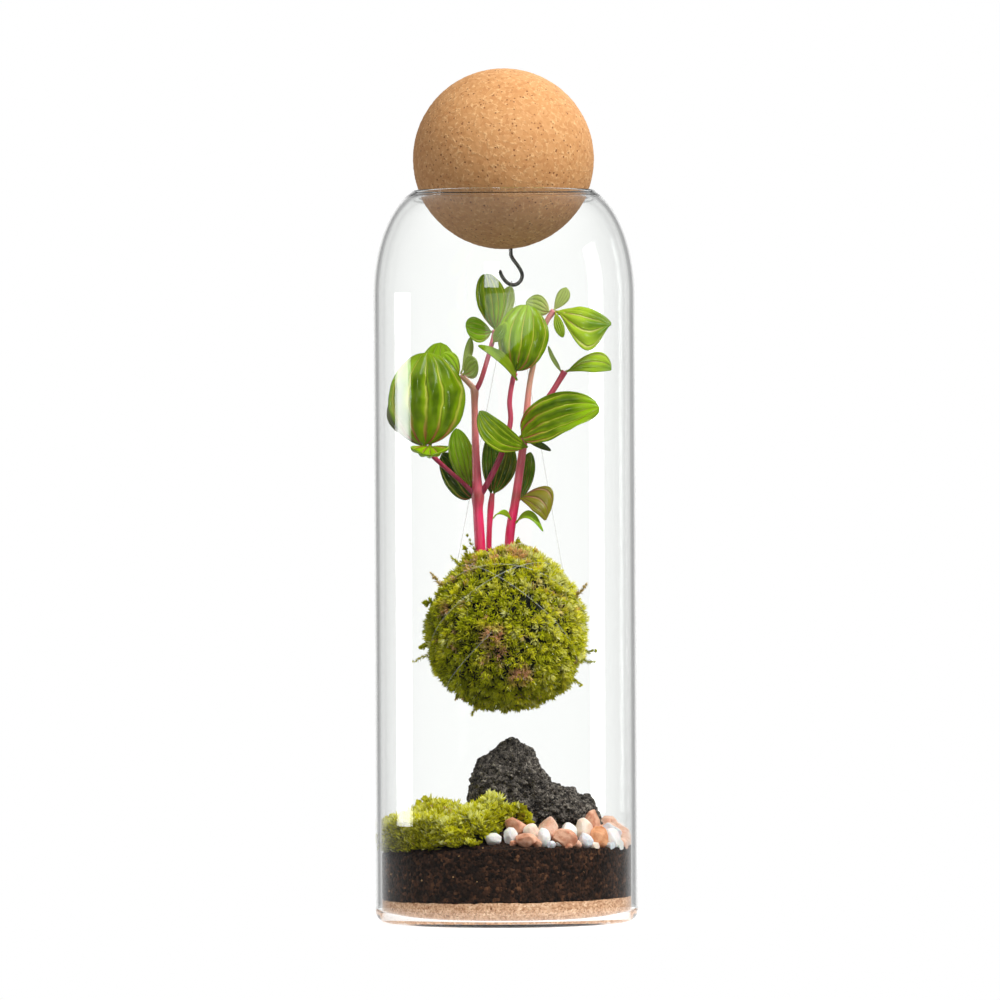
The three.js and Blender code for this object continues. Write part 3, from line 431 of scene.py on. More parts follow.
def joined(name: str, pieces: Sequence[Object]) -> Object:
    """Joins mesh objects to one.

    Args:
        name: its name.
        pieces: what is joined.

    Returns:
        The object.
    """
    only(pieces[0])
    for piece in pieces:
        piece.select_set(True)
    if len(pieces) > 1:
        bpy.ops.object.join()
    return named(name)


def set_kind(piece: Object, kind: int, kinds: int) -> None:
    """Gives all the faces of a piece one of some finishes.

    Args:
        piece: the mesh object.
        kind: which of the finishes.
        kinds: how many there are.
    """
    for _ in range(kinds):
        piece.data.materials.append(None)
    indices = np.full(len(piece.data.polygons), kind, np.int32)
    piece.data.polygons.foreach_set("material_index", indices)


def remeshed(node: str, name: str, voxel: float) -> Object:
    """A finely and evenly divided copy of a CAD node, in millimetres.

    Args:
        node: the CAD node.
        name: the copy's name.
        voxel: the size of its divisions.

    Returns:
        The copy.
    """
    piece = linked(name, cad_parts[node].data.copy())
    piece.data.transform(Matrix.Scale(1 / MM, 4))
    edit(piece, merge(0.01))
    modify(piece, "REMESH", mode="VOXEL", voxel_size=voxel)
    return piece


# ---------------------------------------------------------------- finishes


@dataclass(frozen=True)
class Finish:
    """A finish; its material is made the first time a piece asks for it."""

    name: str

    def material(self) -> bpy.types.Material:
        """The finish as a Blender material."""
        found = bpy.data.materials.get(self.name)
        if found is None:
            found = bpy.data.materials.new(self.name)
            found.use_nodes = True
            tree = found.node_tree
            surface = self.dress(partial(add_node, tree), tree.nodes["Principled BSDF"])
            feed(tree.nodes["Material Output"], surface)
        return found

    def dress(self, add: Adder, shader: Node) -> Node:
        """Adds the nodes of the finish.

        Args:
            add: add_node for the material's tree.
            shader: its Principled shader.

        Returns:
            The shader that covers the surface.
        """
        raise NotImplementedError


@dataclass(frozen=True)
class BlownGlass(Finish):
    """Borosilicate glass, blown and fire-polished."""

    name: str = "blown_borosilicate_glass"

    def dress(self, add: Adder, shader: Node) -> Node:
        """Clear with sharp, pale reflections; the wall only shows where it is seen edge on."""
        feed(shader, Base_Color="FBFCFB", Roughness=0.0, IOR=1.47, Transmission_Weight=1.0)
        path = add("LightPath").outputs
        lighting = add("Math", path["Is Shadow Ray"], path["Is Diffuse Ray"], operation="MAXIMUM")
        return add("MixShader", lighting, shader, add("BsdfTransparent"))


@dataclass(frozen=True)
class AgglomeratedCork(Finish):
    """Cork granules pressed with a binder, turned to a ball and sanded."""

    name: str = "agglomerated_cork"
    granule: float = 1.7
    speck: float = 1.0

    def dress(self, add: Adder, shader: Node) -> Node:
        """Warm tan granules with pale rims and small dark brown specks."""
        place = add("TexCoord").outputs["Object"]
        warp = add("TexNoise", place, per_mm(1.6), 2.0)
        bent = add("VectorMath", warp.outputs["Color"], (0.0012, 0.0012, 0.0012), place,
                   operation="MULTIPLY_ADD")
        granules = add("TexVoronoi", bent, per_mm(self.granule))
        rims = add("TexVoronoi", bent, per_mm(self.granule), feature="DISTANCE_TO_EDGE")
        tone = add("SeparateColor", granules.outputs["Color"])
        base = add("ValToRGB", tone, stops=[(0.0, "C58B56"), (0.5, "CD955E"), (1.0, "D49C66")])
        edge = add("MapRange", rims, 0.0, 0.22, 1.0, 0.0)
        rim = add("MapRange", warp, 0.5, 0.68, 0.0, edge)
        pale = add("Mix", rim, base, "ECBC84", data_type="RGBA")
        specks = add("TexVoronoi", place, per_mm(self.speck))
        chosen = add("SeparateColor", specks.outputs["Color"]).outputs[1]
        rare = add("MapRange", chosen, 0.66, 1.0, 0.0, 0.44)
        spot = add("Math", rare, specks, operation="SUBTRACT")
        spotted = add("MapRange", spot, -0.08, 0.2, 0.0, 0.95)
        brown = add("Mix", spotted, pale, "7E4B28", data_type="RGBA")
        depth = add("Math", rim, spotted, operation="SUBTRACT")
        bump = add("Bump", Height=depth, Distance=0.0002, Strength=0.55)
        return feed(shader, Base_Color=brown, Roughness=0.82, Normal=bump, Specular_IOR_Level=0.3)


@dataclass(frozen=True)
class BlackenedSteel(Finish):
    """Drawn steel wire with a dark zinc finish."""

    name: str = "dark_zinc_plated_steel"

    def dress(self, add: Adder, shader: Node) -> Node:
        """Dark metal with bright, slightly drawn-out glints."""
        grain = add("TexNoise", add("TexCoord").outputs["Object"], per_mm(0.8), 3.0)
        tone = add("ValToRGB", grain, stops=[(0.3, "4A4A4A"), (0.7, "8B8984")])
        rough = add("MapRange", grain, To_Min=0.2, To_Max=0.42)
        return feed(shader, Base_Color=tone, Metallic=1.0, Roughness=rough)


@dataclass(frozen=True)
class ClearNylon(Finish):
    """Clear nylon monofilament."""

    name: str = "clear_nylon_monofilament"
    clear: float = 0.8

    def dress(self, add: Adder, shader: Node) -> Node:
        """Nearly invisible on white, a pale line on the moss; its whitish tone is a painted
        highlight for the thread's glints.
        """
        grain = add("TexNoise", add("TexCoord").outputs["Object"], per_mm(5.0))
        # Painted highlight: the whitish part that is not see-through stands in for glints on clear
        # nylon.
        tone = add("ValToRGB", grain, stops=[(0.3, "E6EAE6"), (0.7, "FAFCFA")])
        feed(shader, Base_Color=tone, Roughness=0.12, IOR=1.53)
        return add("MixShader", self.clear, shader, add("BsdfTransparent"))


@dataclass(frozen=True)
class MossShoot(Finish):
    """Living moss; each shoot has a tone of its own and is painted darker towards its root, which
    paints the shade deep in the moss.
    """

    name: str = "ball_moss_shoots"
    tones: tuple[str, ...] = ("AEB40E", "E0E41A", "FFFC46", "FFFFC0")
    brown: str = "FFDCB4"
    through: float = 0.5

    def dress(self, add: Adder, shader: Node) -> Node:
        """Thin leaflets that glow where light comes through, over dark gaps."""
        marks = add("Attribute", attribute_name="shoot").outputs["Vector"]
        tone, tip, dead = add("SeparateXYZ", marks).outputs
        steps = len(self.tones) - 1
        fresh = add("ValToRGB", tone, stops=[(i / steps, t) for i, t in enumerate(self.tones)])
        mixed = add("Mix", dead, fresh, self.brown, data_type="RGBA")
        # Painted shade: this ramp darkens each shoot towards its root, for the shade deep among the
        # shoots.
        depth = add("ValToRGB", tip, stops=[(0.0, "504C30"), (0.3, "D8D8C0"), (0.6, "FFFFFF")])
        colour = add("Mix", 1.0, mixed, depth, data_type="RGBA", blend_type="MULTIPLY")
        feed(shader, Base_Color=colour, Roughness=0.26, Specular_IOR_Level=0.9)
        return add("MixShader", self.through, shader, add("BsdfTranslucent", colour))


@dataclass(frozen=True)
class Crumbs(Finish):
    """A loose or porous stuff whose grains differ in tone."""

    grain: float
    tones: tuple[str, ...]
    fleck: str
    fleck_grain: float = 2.2
    fleck_share: float = 0.1
    depth: float = 0.5
    roughness: float = 0.95

    def dress(self, add: Adder, shader: Node) -> Node:
        """Grains of several tones with scattered flecks and a rough, dull relief."""
        place = add("TexCoord").outputs["Object"]
        grains = add("TexVoronoi", place, per_mm(self.grain))
        cloud = add("TexNoise", place, per_mm(self.grain * 4), 5.0)
        each = add("SeparateColor", grains.outputs["Color"])
        blend = add("Math", each, cloud, operation="MULTIPLY")
        steps = len(self.tones) - 1
        tone = add("ValToRGB", blend, stops=[
            (0.04 + 0.62 * i / steps, colour) for i, colour in enumerate(self.tones)
        ])
        flecks = add("TexVoronoi", place, per_mm(self.fleck_grain))
        which = add("SeparateColor", flecks.outputs["Color"]).outputs[2]
        rare = add("MapRange", which, 1 - self.fleck_share, 1.0, 0.0, 0.3)
        near = add("Math", rare, flecks, operation="GREATER_THAN")
        colour = add("Mix", near, tone, self.fleck, data_type="RGBA")
        height = add("Math", grains, -1.0, cloud, operation="MULTIPLY_ADD")
        bump = add("Bump", Height=height, Distance=self.depth * MM, Strength=0.8)
        return feed(shader, Base_Color=colour, Roughness=self.roughness, Normal=bump,
                    Specular_IOR_Level=0.25)


@dataclass(frozen=True)
class LivingStem(Finish):
    """Skin of a fleshy stem, hot pink at its foot and paler higher up."""

    name: str = "fleshy_pink_stem"
    rise: tuple[float, float] = (0.128, 0.232)
    main: tuple[tuple[float, str], ...] = (
        (0.0, "F4045C"), (0.26, "FA1068"), (0.33, "B84444"), (0.36, "F05A74"), (0.5, "FF828E"),
        (0.64, "FF9A92"), (0.74, "E0AC8E"), (0.86, "E2B696"), (1.0, "F09A9C"),
    )
    side: tuple[tuple[float, str], ...] = (
        (0.3, "90163E"), (0.5, "AE1E4A"), (0.7, "D24866"), (1.0, "EC7884"),
    )

    def dress(self, add: Adder, shader: Node) -> Node:
        """Smooth and slightly waxy, streaked along its length; side shoots are dark magenta."""
        place = add("TexCoord").outputs["Object"]
        share = add("MapRange", add("SeparateXYZ", place).outputs[2], *self.rise)
        marks = add("Attribute", attribute_name="limb").outputs["Fac"]
        main, side = (add("ValToRGB", share, stops=stops) for stops in (self.main, self.side))
        colour = add("Mix", marks, main, side, data_type="RGBA")
        squeezed = add("Mapping", place, Scale=(1.0, 1.0, 0.12))
        streaks = add("TexNoise", squeezed, per_mm(0.9), 4.0)
        streaked = add("MapRange", streaks, 0.35, 0.75, 0.0, 0.22)
        pale = add("Mix", streaked, colour, "F6A8AC", data_type="RGBA")
        bump = add("Bump", Height=streaks, Distance=0.00025, Strength=0.5)
        return feed(shader, Base_Color=pale, Roughness=0.42, Normal=bump,
                    Subsurface_Weight=0.25, Subsurface_Scale=0.002)


@dataclass(frozen=True)
class LivingLeaf(Finish):
    """A glossy leaf with arched veins that run from its base to its tip."""

    name: str = "leaf_bright"
    light: str = "BCE608"
    dark: str = "4A6E00"
    vein: str = "EAEE5C"
    foot: str = "EE306E"
    through: float = 0.4
    gloss: float = 0.2
    vein_spacing: float = 0.44

    def dress(self, add: Adder, shader: Node) -> Node:
        """Waxy skin over a blade that lets light through, with paler veins and a pink foot."""
        place = add("TexCoord").outputs["Object"]
        across, along, _ = add("SeparateXYZ", add("UVMap", uv_map="blade")).outputs
        drift = add("MapRange", add("TexNoise", place, per_mm(9.0)), To_Min=-1.14, To_Max=-0.86)
        half = add("Math", across, 2.0, drift, operation="MULTIPLY_ADD")
        beside = add("Math", half, self.vein_spacing / 2, operation="PINGPONG")
        narrow = add("MapRange", along, To_Min=0.09, To_Max=0.034)
        ratio = add("Math", beside, narrow, operation="DIVIDE")
        soft = {"interpolation_type": "SMOOTHSTEP"}
        main = add("MapRange", ratio, 0.2, 1.2, 0.9, 0.0, **soft)
        beside_vein = add("MapRange", ratio, 0.5, 3.6, 0.75, 0.0, **soft)
        web = add("TexVoronoi", place, per_mm(2.6), feature="SMOOTH_F1")
        fine = add("MapRange", web, 0.3, 0.75, 0.0, 0.12)
        veins = add("Math", main, fine, operation="MAXIMUM")
        cloud = add("TexNoise", place, per_mm(19.0), 1.0)
        patch = add("MapRange", cloud, 0.36, 0.64, 0.15, 0.85, **soft)
        bright = add("Math", patch, beside_vein, operation="MAXIMUM")
        skin = add("Mix", bright, self.dark, self.light, data_type="RGBA")
        veined = add("Mix", veins, skin, self.vein, data_type="RGBA")
        root = add("MapRange", along, 0.02, 0.32, 1.0, 0.0)
        blush = add("Math", root, main, operation="MULTIPLY")
        colour = add("Mix", blush, veined, self.foot, data_type="RGBA")
        relief = add("Math", veins, -1.0, cloud, operation="MULTIPLY_ADD")
        bump = add("Bump", Height=relief, Distance=0.0008, Strength=0.9)
        feed(shader, Base_Color=colour, Roughness=self.gloss, Normal=bump,
             Specular_IOR_Level=0.4, Coat_Weight=0.3, Coat_Roughness=0.08)
        return add("MixShader", self.through, shader, add("BsdfTranslucent", colour))


@dataclass(frozen=True)
class LeafVein(Finish):
    """The midrib and stalk of a leaf."""

    name: str = "leaf_midrib"

    def dress(self, add: Adder, shader: Node) -> Node:
        """Juicy and pale, pink to yellow-green in patches."""
        cloud = add("TexNoise", add("TexCoord").outputs["Object"], per_mm(7.0))
        tone = add("ValToRGB", cloud, stops=[(0.4, "E8487C"), (0.6, "DCA478")])
        return feed(shader, Base_Color=tone, Roughness=0.4, Subsurface_Weight=0.2,
                    Subsurface_Scale=0.0015)


@dataclass(frozen=True)
class Stone(Finish):
    """A small decorative stone, tumbled or chipped, with the name of its slot."""

    pale: str
    deep: str
    slot: str
    cloud: float = 4.0
    roughness: float = 0.5
    glow: float = 0.15

    def dress(self, add: Adder, shader: Node) -> Node:
        """Soft clouds of two tones, finely pitted, and a little light within the stone."""
        place = add("TexCoord").outputs["Object"]
        clouds = add("TexNoise", place, per_mm(self.cloud), 5.0)
        tone = add("ValToRGB", clouds, stops=[(0.35, self.deep), (0.62, self.pale)])
        grit = add("TexNoise", place, per_mm(0.7), 4.0)
        bump = add("Bump", Height=grit, Distance=0.00025, Strength=0.6)
        return feed(shader, Base_Color=tone, Roughness=self.roughness, Normal=bump,
                    Subsurface_Weight=self.glow, Subsurface_Scale=0.003)


WHITE = Stone("white_quartz", "FFFFFC", "F4F0EA", "white_pebble")
GREY = Stone("grey_white_quartz", "F1F3F6", "CDD2D8", "white_pebble")
CREAM = Stone("cream_quartz", "FFF0E0", "F8DAC2", "cream_pebble")
TERRACOTTA = Stone("terracotta_chip", "EDB898", "C77E5C", "terracotta_pebble", 2.4, 0.7, 0.05)
ORANGE = Stone("orange_chip", "EDAE80", "CE7C46", "terracotta_pebble", 2.4, 0.6, 0.1)
PEACH = Stone("peach_chip", "F0CDB6", "DDA78A", "peach_pebble", 3.5, 0.7, 0.08)


# ---------------------------------------------------------------- assemblies


class Assembly:
    """Pieces that belong together, with the way to hand them to the frame."""

    @staticmethod
    def deliver(
        piece: Object, finishes: Sequence[Finish], slot: str, *nodes: str, smooth: bool = True,
    ) -> None:
        """Brings a piece to metres, dresses it and sets it on its body.

        Args:
            piece: a mesh object in millimetres.
            finishes: its finishes, in the order of its material indices.
            slot: not used.
            nodes: the CAD nodes that it stands for.
            smooth: whether it is shaded smooth.
        """
        only(piece)
        bpy.ops.object.transform_apply(location=True, rotation=True, scale=True)
        if smooth:
            bpy.ops.object.shade_smooth()
        piece.data.transform(Matrix.Scale(MM, 4))
        indices = np.zeros(len(piece.data.polygons), np.int32)
        piece.data.polygons.foreach_get("material_index", indices)
        piece.data.materials.clear()
        for finish in finishes:
            piece.data.materials.append(finish.material())
        piece.data.polygons.foreach_set("material_index", np.minimum(indices, len(finishes) - 1))
        Assembly.seat(piece, slot, *nodes)
        log.info("%s: %d faces", piece.name, len(piece.data.polygons))

    @staticmethod
    def seat(piece: Object, slot: str, *nodes: str) -> None:
        """Sets a finished piece on its body and hides the CAD nodes that it stands for.

        Args:
            piece: the piece.
            slot: not used.
            nodes: the CAD nodes that it stands for.
        """
        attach(piece, "root")
        if nodes:
            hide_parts(*nodes)


@dataclass
class Jar(Assembly):
    """The blown jar: foot, straight wall, drawn-in shoulder and beaded lip."""

    radius: float = 50.0
    wall: float = 2.2
    base: float = 2.2
    foot: float = 4.2
    push_up: float = 0.9
    shoulder_start: float = 238.0
    shoulder_reach: float = 22.0
    shoulder_rise: float = 42.0
    lip: float = 1.5
    lip_centre: tuple[float, float] = (33.8, 277.06)
    steps: int = 144

    def arc(self, centre: tuple[float, float], radii: tuple[float, float], first: float,
            last: float, count: int) -> list[tuple[float, float]]:
        """Points of an elliptical arc, as radius and height.

        Args:
            centre: its centre in the section.
            radii: its half axes.
            first: the angle it starts at, in degrees.
            last: the angle it ends at.
            count: the number of points.

        Returns:
            The points.
        """
        (x, z), (wide, high) = centre, radii
        turns = np.radians(np.linspace(first, last, count))
        return [(x + wide * math.cos(t), z + high * math.sin(t)) for t in turns]

    def section(self) -> list[tuple[float, float]]:
        """Half of the jar's section, from the middle of its underside round to its floor."""
        middle = (self.radius - self.shoulder_reach, self.shoulder_start)
        outer = (self.shoulder_reach, self.shoulder_rise)
        inner = (self.shoulder_reach - self.wall, self.shoulder_rise - self.wall)
        corner = self.foot - 1
        inside = self.radius - self.wall
        rises = np.linspace(0.12, 0.88, 5) * (self.shoulder_start - self.foot)
        return [
            (0.0, self.push_up), (16.0, 0.85 * self.push_up), (30.0, 0.4 * self.push_up),
            (38.0, 0.1 * self.push_up), (42.0, 0.0),
            *self.arc((self.radius - self.foot, self.foot), (self.foot, self.foot), -90, 0, 9),
            *[(self.radius, self.foot + rise) for rise in rises],
            *self.arc(middle, outer, 0, 69.5, 22),
            *self.arc(self.lip_centre, (self.lip, self.lip), 26, 290, 17),
            *self.arc(middle, inner, 68, 0, 22),
            *[(inside, self.shoulder_start - rise) for rise in rises],
            *self.arc((inside - corner, self.base + corner), (corner, corner), 0, -90, 8),
            (30.0, self.base), (15.0, self.base), (0.0, self.base),
        ]

    def build(self) -> None:
        """Extrudes the section point by point and spins it round the jar's axis."""
        section = self.section()
        jar = primitive("blown_jar", bpy.ops.mesh.primitive_plane_add, size=1,
                        location=(section[0][0], 0, section[0][1]))

        def turn() -> None:
            """Draws the section and spins it round."""
            bpy.ops.mesh.select_mode(type="VERT")
            bpy.ops.mesh.merge(type="CENTER")
            for (r0, z0), (r1, z1) in zip(section, section[1:]):
                bpy.ops.mesh.extrude_vertices_move(
                    TRANSFORM_OT_translate={"value": (r1 - r0, 0, z1 - z0)},
                )
            bpy.ops.mesh.select_all(action="SELECT")
            bpy.ops.mesh.spin(
                steps=self.steps, angle=2 * math.pi, center=(0, 0, 0), axis=(0, 0, 1),
            )
            bpy.ops.mesh.select_all(action="SELECT")

        edit(jar, turn, merge(0.002))
        self.deliver(jar, [BlownGlass()], "jar_glass", "glass_jar")


@dataclass
class Closure(Assembly):
    """The cork ball and the steel hook that is screwed into it."""

    radius: float = 34.5
    height: float = 290.3
    roll: float = math.radians(4.3)
    granule: float = 1.7
    groove: float = 0.1
    shank_depth: float = 15.0
    wire: float = 1.45
    bend: tuple[tuple[float, float], ...] = (
        (2.65, 255.1), (2.7, 253.6), (3.7, 251.7), (5.2, 249.7), (6.4, 247.7), (6.9, 246.1),
        (6.6, 244.4), (5.6, 243.1), (4.3, 242.4), (2.9, 242.4), (1.5, 243.0), (0.3, 244.1),
        (-0.7, 245.5), (-1.3, 246.8), (-1.5, 248.0),
    )

    def build(self) -> None:
        """A ball pitted between its granules, then the wire from its shank to its end."""
        ball = primitive("cork_stopper", bpy.ops.mesh.primitive_ico_sphere_add, subdivisions=7,
                         radius=self.radius)
        points = points_of(ball)
        depth = self.groove * (1 - pits(points, self.granule, 0)) + 0.05 * swirl(points, 1.2, 2, 0)
        points -= unit(points) * np.clip(depth, 0, None)[:, None]
        set_points(ball, points + (0, 0, self.height))
        self.deliver(ball, [AgglomeratedCork(granule=self.granule)], "cork", "cork_ball")
        axis = np.array([math.sin(self.roll), 0, -math.cos(self.roll)])
        shank = [
            axis * (self.radius - depth) + (0, 0, self.height)
            for depth in (self.shank_depth, self.shank_depth / 2)
        ]
        stations = route([*shank, *[(x, 0, z) for x, z in self.bend]], 5)
        radii = np.full(len(stations), self.wire / 2)
        radii[-4:] *= (0.97, 0.88, 0.68, 0.3)
        wire = rod("steel_hook", stations, radii, 5)
        self.deliver(wire, [BlackenedSteel()], "hook_steel", "screw_hook")


@dataclass(frozen=True)
class BallForm:
    """The moss ball's outline: a ball that is slimmer and taller towards its top."""

    centre: Point = (0.3, 0.0, 111.0)
    taper: float = 0.15
    rise: float = 0.11
    spread: float = 0.1

    def place(self, ways: Array, radii: Array | float) -> Array:
        """Points of the outline, in millimetres.

        Args:
            ways: unit vectors from the middle.
            radii: the nominal radius for each.

        Returns:
            The points.
        """
        up = ways[:, 2]
        width = np.where(up > 0, 1 - self.taper * up ** 2, 1 + self.spread * up ** 2)
        height = np.where(up > 0, 1 + self.rise * up, 1)
        stretch = np.stack([width, width, height], 1) * np.reshape(radii, (-1, 1))
        return ways * stretch + np.array(self.centre)


@dataclass
class Threads(Assembly):
    """The clear thread that hangs the ball, and the one wound round it."""

    ball: BallForm = BallForm()
    thickness: float = 0.35
    left: Point = (-18.9, 5.5, 134.0)
    right: Point = (22.9, 8.0, 128.0)
    hook_seat: Point = (2.9, 0.0, 242.4)
    loop: float = 1.32
    loop_steps: int = 24
    winding_radius: float = 30.0
    winding_spread: float = 1.5
    turns: int = 3
    steps_per_turn: int = 60
    tilt: float = math.radians(50)
    swing_start: float = math.radians(20)
    swing: float = math.radians(150)

    def build(self) -> None:
        self.declare("nylon_hanger", self.hanging(), "taut", "hanging_thread")
        self.declare("nylon_winding", self.winding(), "coiled", "winding_thread")

    def declare(self, name: str, stations: Array, lay: str, node: str) -> None:
        """Args:
            name: the piece's name.
            stations: its centreline in millimetres.
            lay: not used.
            node: the CAD node that it stands for.
        """
        line = stations * MM
        piece = cord_curve(name, line, np.full(len(line), self.thickness * MM / 2), 3)
        piece.data.materials.append(ClearNylon().material())
        self.seat(piece, "nylon_thread", node)

    def hanging(self) -> Array:
        """From the ball's left shoulder over the hook, front to back, and down to its right."""
        left, right, seat = (np.array(p) for p in (self.left, self.right, self.hook_seat))
        front = seat + (-0.25, -self.loop, 0)
        back = seat + (0.25, self.loop, 0)
        share = np.linspace(0, 1, self.loop_steps + 1)
        turn = math.pi * share
        over = seat + np.stack([
            0.5 * (share - 0.5), -self.loop * np.cos(turn), self.loop * np.sin(turn),
        ], 1)
        up = left + (front - left) * np.linspace(0, 0.97, 12)[:, None]
        down = right + (back - right) * np.linspace(0.97, 0, 12)[:, None]
        return np.concatenate([up, over, down])

    def winding(self) -> Array:
        """Turns whose plane swings round the ball, each a little further out."""
        step = np.arange(self.turns * self.steps_per_turn + 1)
        done = step / step[-1]
        turn = 2 * math.pi * step[:, None] / self.steps_per_turn
        swing = self.swing_start + self.swing * done
        flat, level = np.sin(self.tilt), np.cos(self.tilt)
        pole = np.stack([flat * np.cos(swing), flat * np.sin(swing), np.full(len(step), level)], 1)
        side = np.stack([-np.sin(swing), np.cos(swing), np.zeros(len(step))], 1)
        way = side * np.cos(turn) + np.cross(pole, side) * np.sin(turn)
        return self.ball.place(way, self.winding_radius + self.winding_spread * done)


# ---------------------------------------------------------------- moss


@dataclass
class MossBed(Assembly):
    """Moss shoots over a matted core: a few are modelled, and planted thousands of times."""

    slot: str = "ball_moss"
    node: str = "moss_ball"
    finish: MossShoot = MossShoot()
    length: float = 4.4
    leaflet: float = 2.9
    leaflet_width: float = 0.5
    leaflets: int = 10
    kinds: int = 5

    def shoot(self, seed: int) -> tuple[Array, Array]:
        """Models one shoot, a curved stem with leaflets all round it.

        Args:
            seed: which of the kinds it is.

        Returns:
            Its points, and its faces as rows of three points.
        """
        rng = np.random.default_rng(seed)
        first = self.model_leaflet()
        leaflets = []
        for order in range(self.leaflets):
            share = order / (self.leaflets - 1)
            heading = order * 2.4 + rng.uniform(-0.4, 0.4)
            lean = 1.05 - 0.85 * share + rng.uniform(-0.2, 0.2)
            height = (0.1 + 0.9 * share) * (self.length - self.leaflet)
            leaf = linked("leaflet", first.data.copy())
            leaf.data.transform(
                Matrix.Translation((0.9 * share ** 2, 0, height))
                @ Matrix.Rotation(heading, 4, "Z")
                @ Matrix.Rotation(lean, 4, "Y")
                @ Matrix.Diagonal((0.5, 1.2 - 0.4 * share, 1.1 - 0.3 * share, 1.0))
            )
            leaflets.append(leaf)
        whole = joined("shoot", leaflets)
        points = points_of(whole)
        faces = np.array([list(p.vertices) for p in whole.data.polygons])
        for spent in (first, whole):
            bpy.data.objects.remove(spent)
        return points, faces

    def model_leaflet(self) -> Object:
        """One leaflet along Z: pointed at both ends and widest below its middle."""
        widest = 0.38 * self.leaflet
        leaf = primitive(
            "leaflet", bpy.ops.mesh.primitive_cone_add, vertices=3, radius1=self.leaflet_width,
            depth=self.leaflet - widest, location=(0, 0, (self.leaflet + widest) / 2),
        )
        bpy.ops.object.transform_apply(location=True)
        leaf.data.polygons.foreach_set("select", [p.normal.z < -0.9 for p in leaf.data.polygons])
        bpy.ops.object.mode_set(mode="EDIT")
        bpy.ops.mesh.select_mode(type="FACE")
        bpy.ops.mesh.poke(offset=widest)
        bpy.ops.object.mode_set(mode="OBJECT")
        return leaf

    def plant(
        self, name: str, roots: Array, ways: Array, sizes: Array,
        tones: Array, dead: Array, seed: int,
    ) -> None:
        """Plants one shoot at each place, as one piece.

        Args:
            name: the new piece's name.
            roots: where each shoot stands.
            ways: the direction it grows in.
            sizes: its scale.
            tones: its tone, from 0 to 1.
            dead: how brown it is, from 0 to 1.
            seed: seeds the turn of each shoot.
        """
        rng = np.random.default_rng(seed)
        kinds = [self.shoot(seed + k) for k in range(self.kinds)]
        which = rng.integers(0, self.kinds, len(roots))
        spin = rng.uniform(0, 2 * math.pi, len(roots))[:, None]
        ways = unit(ways)
        aside = unit(np.cross(ways, np.where(np.abs(ways[:, 2:]) < 0.9, [[0, 0, 1]], [[1, 0, 0]])))
        first = aside * np.cos(spin) + np.cross(ways, aside) * np.sin(spin)
        axes = np.stack([first, np.cross(ways, first), ways], 1) * sizes[:, None, None]
        points, faces, marks, count = [], [], [], 0
        for kind, (form, sides) in enumerate(kinds):
            chosen = np.flatnonzero(which == kind)
            points.append((form @ axes[chosen] + roots[chosen, None]).reshape(-1, 3))
            shifts = count + np.arange(len(chosen)) * len(form)
            faces.append((sides[None] + shifts[:, None, None]).reshape(-1, sides.shape[1]))
            count += len(chosen) * len(form)
            tip = np.tile(np.clip(form[:, 2] / form[:, 2].max(), 0, 1), len(chosen))
            tone, brown = (np.repeat(mark[chosen], len(form)) for mark in (tones, dead))
            marks.append(np.stack([tone, tip, brown], 1))
        mesh = bpy.data.meshes.new(name)
        mesh.from_pydata(np.concatenate(points).tolist(), [], np.concatenate(faces).tolist())
        mesh.attributes.new("shoot", "FLOAT_VECTOR", "POINT").data.foreach_set(
            "vector", np.concatenate(marks).ravel(),
        )
        self.deliver(linked(name, mesh), [self.finish], self.slot, self.node, smooth=False)


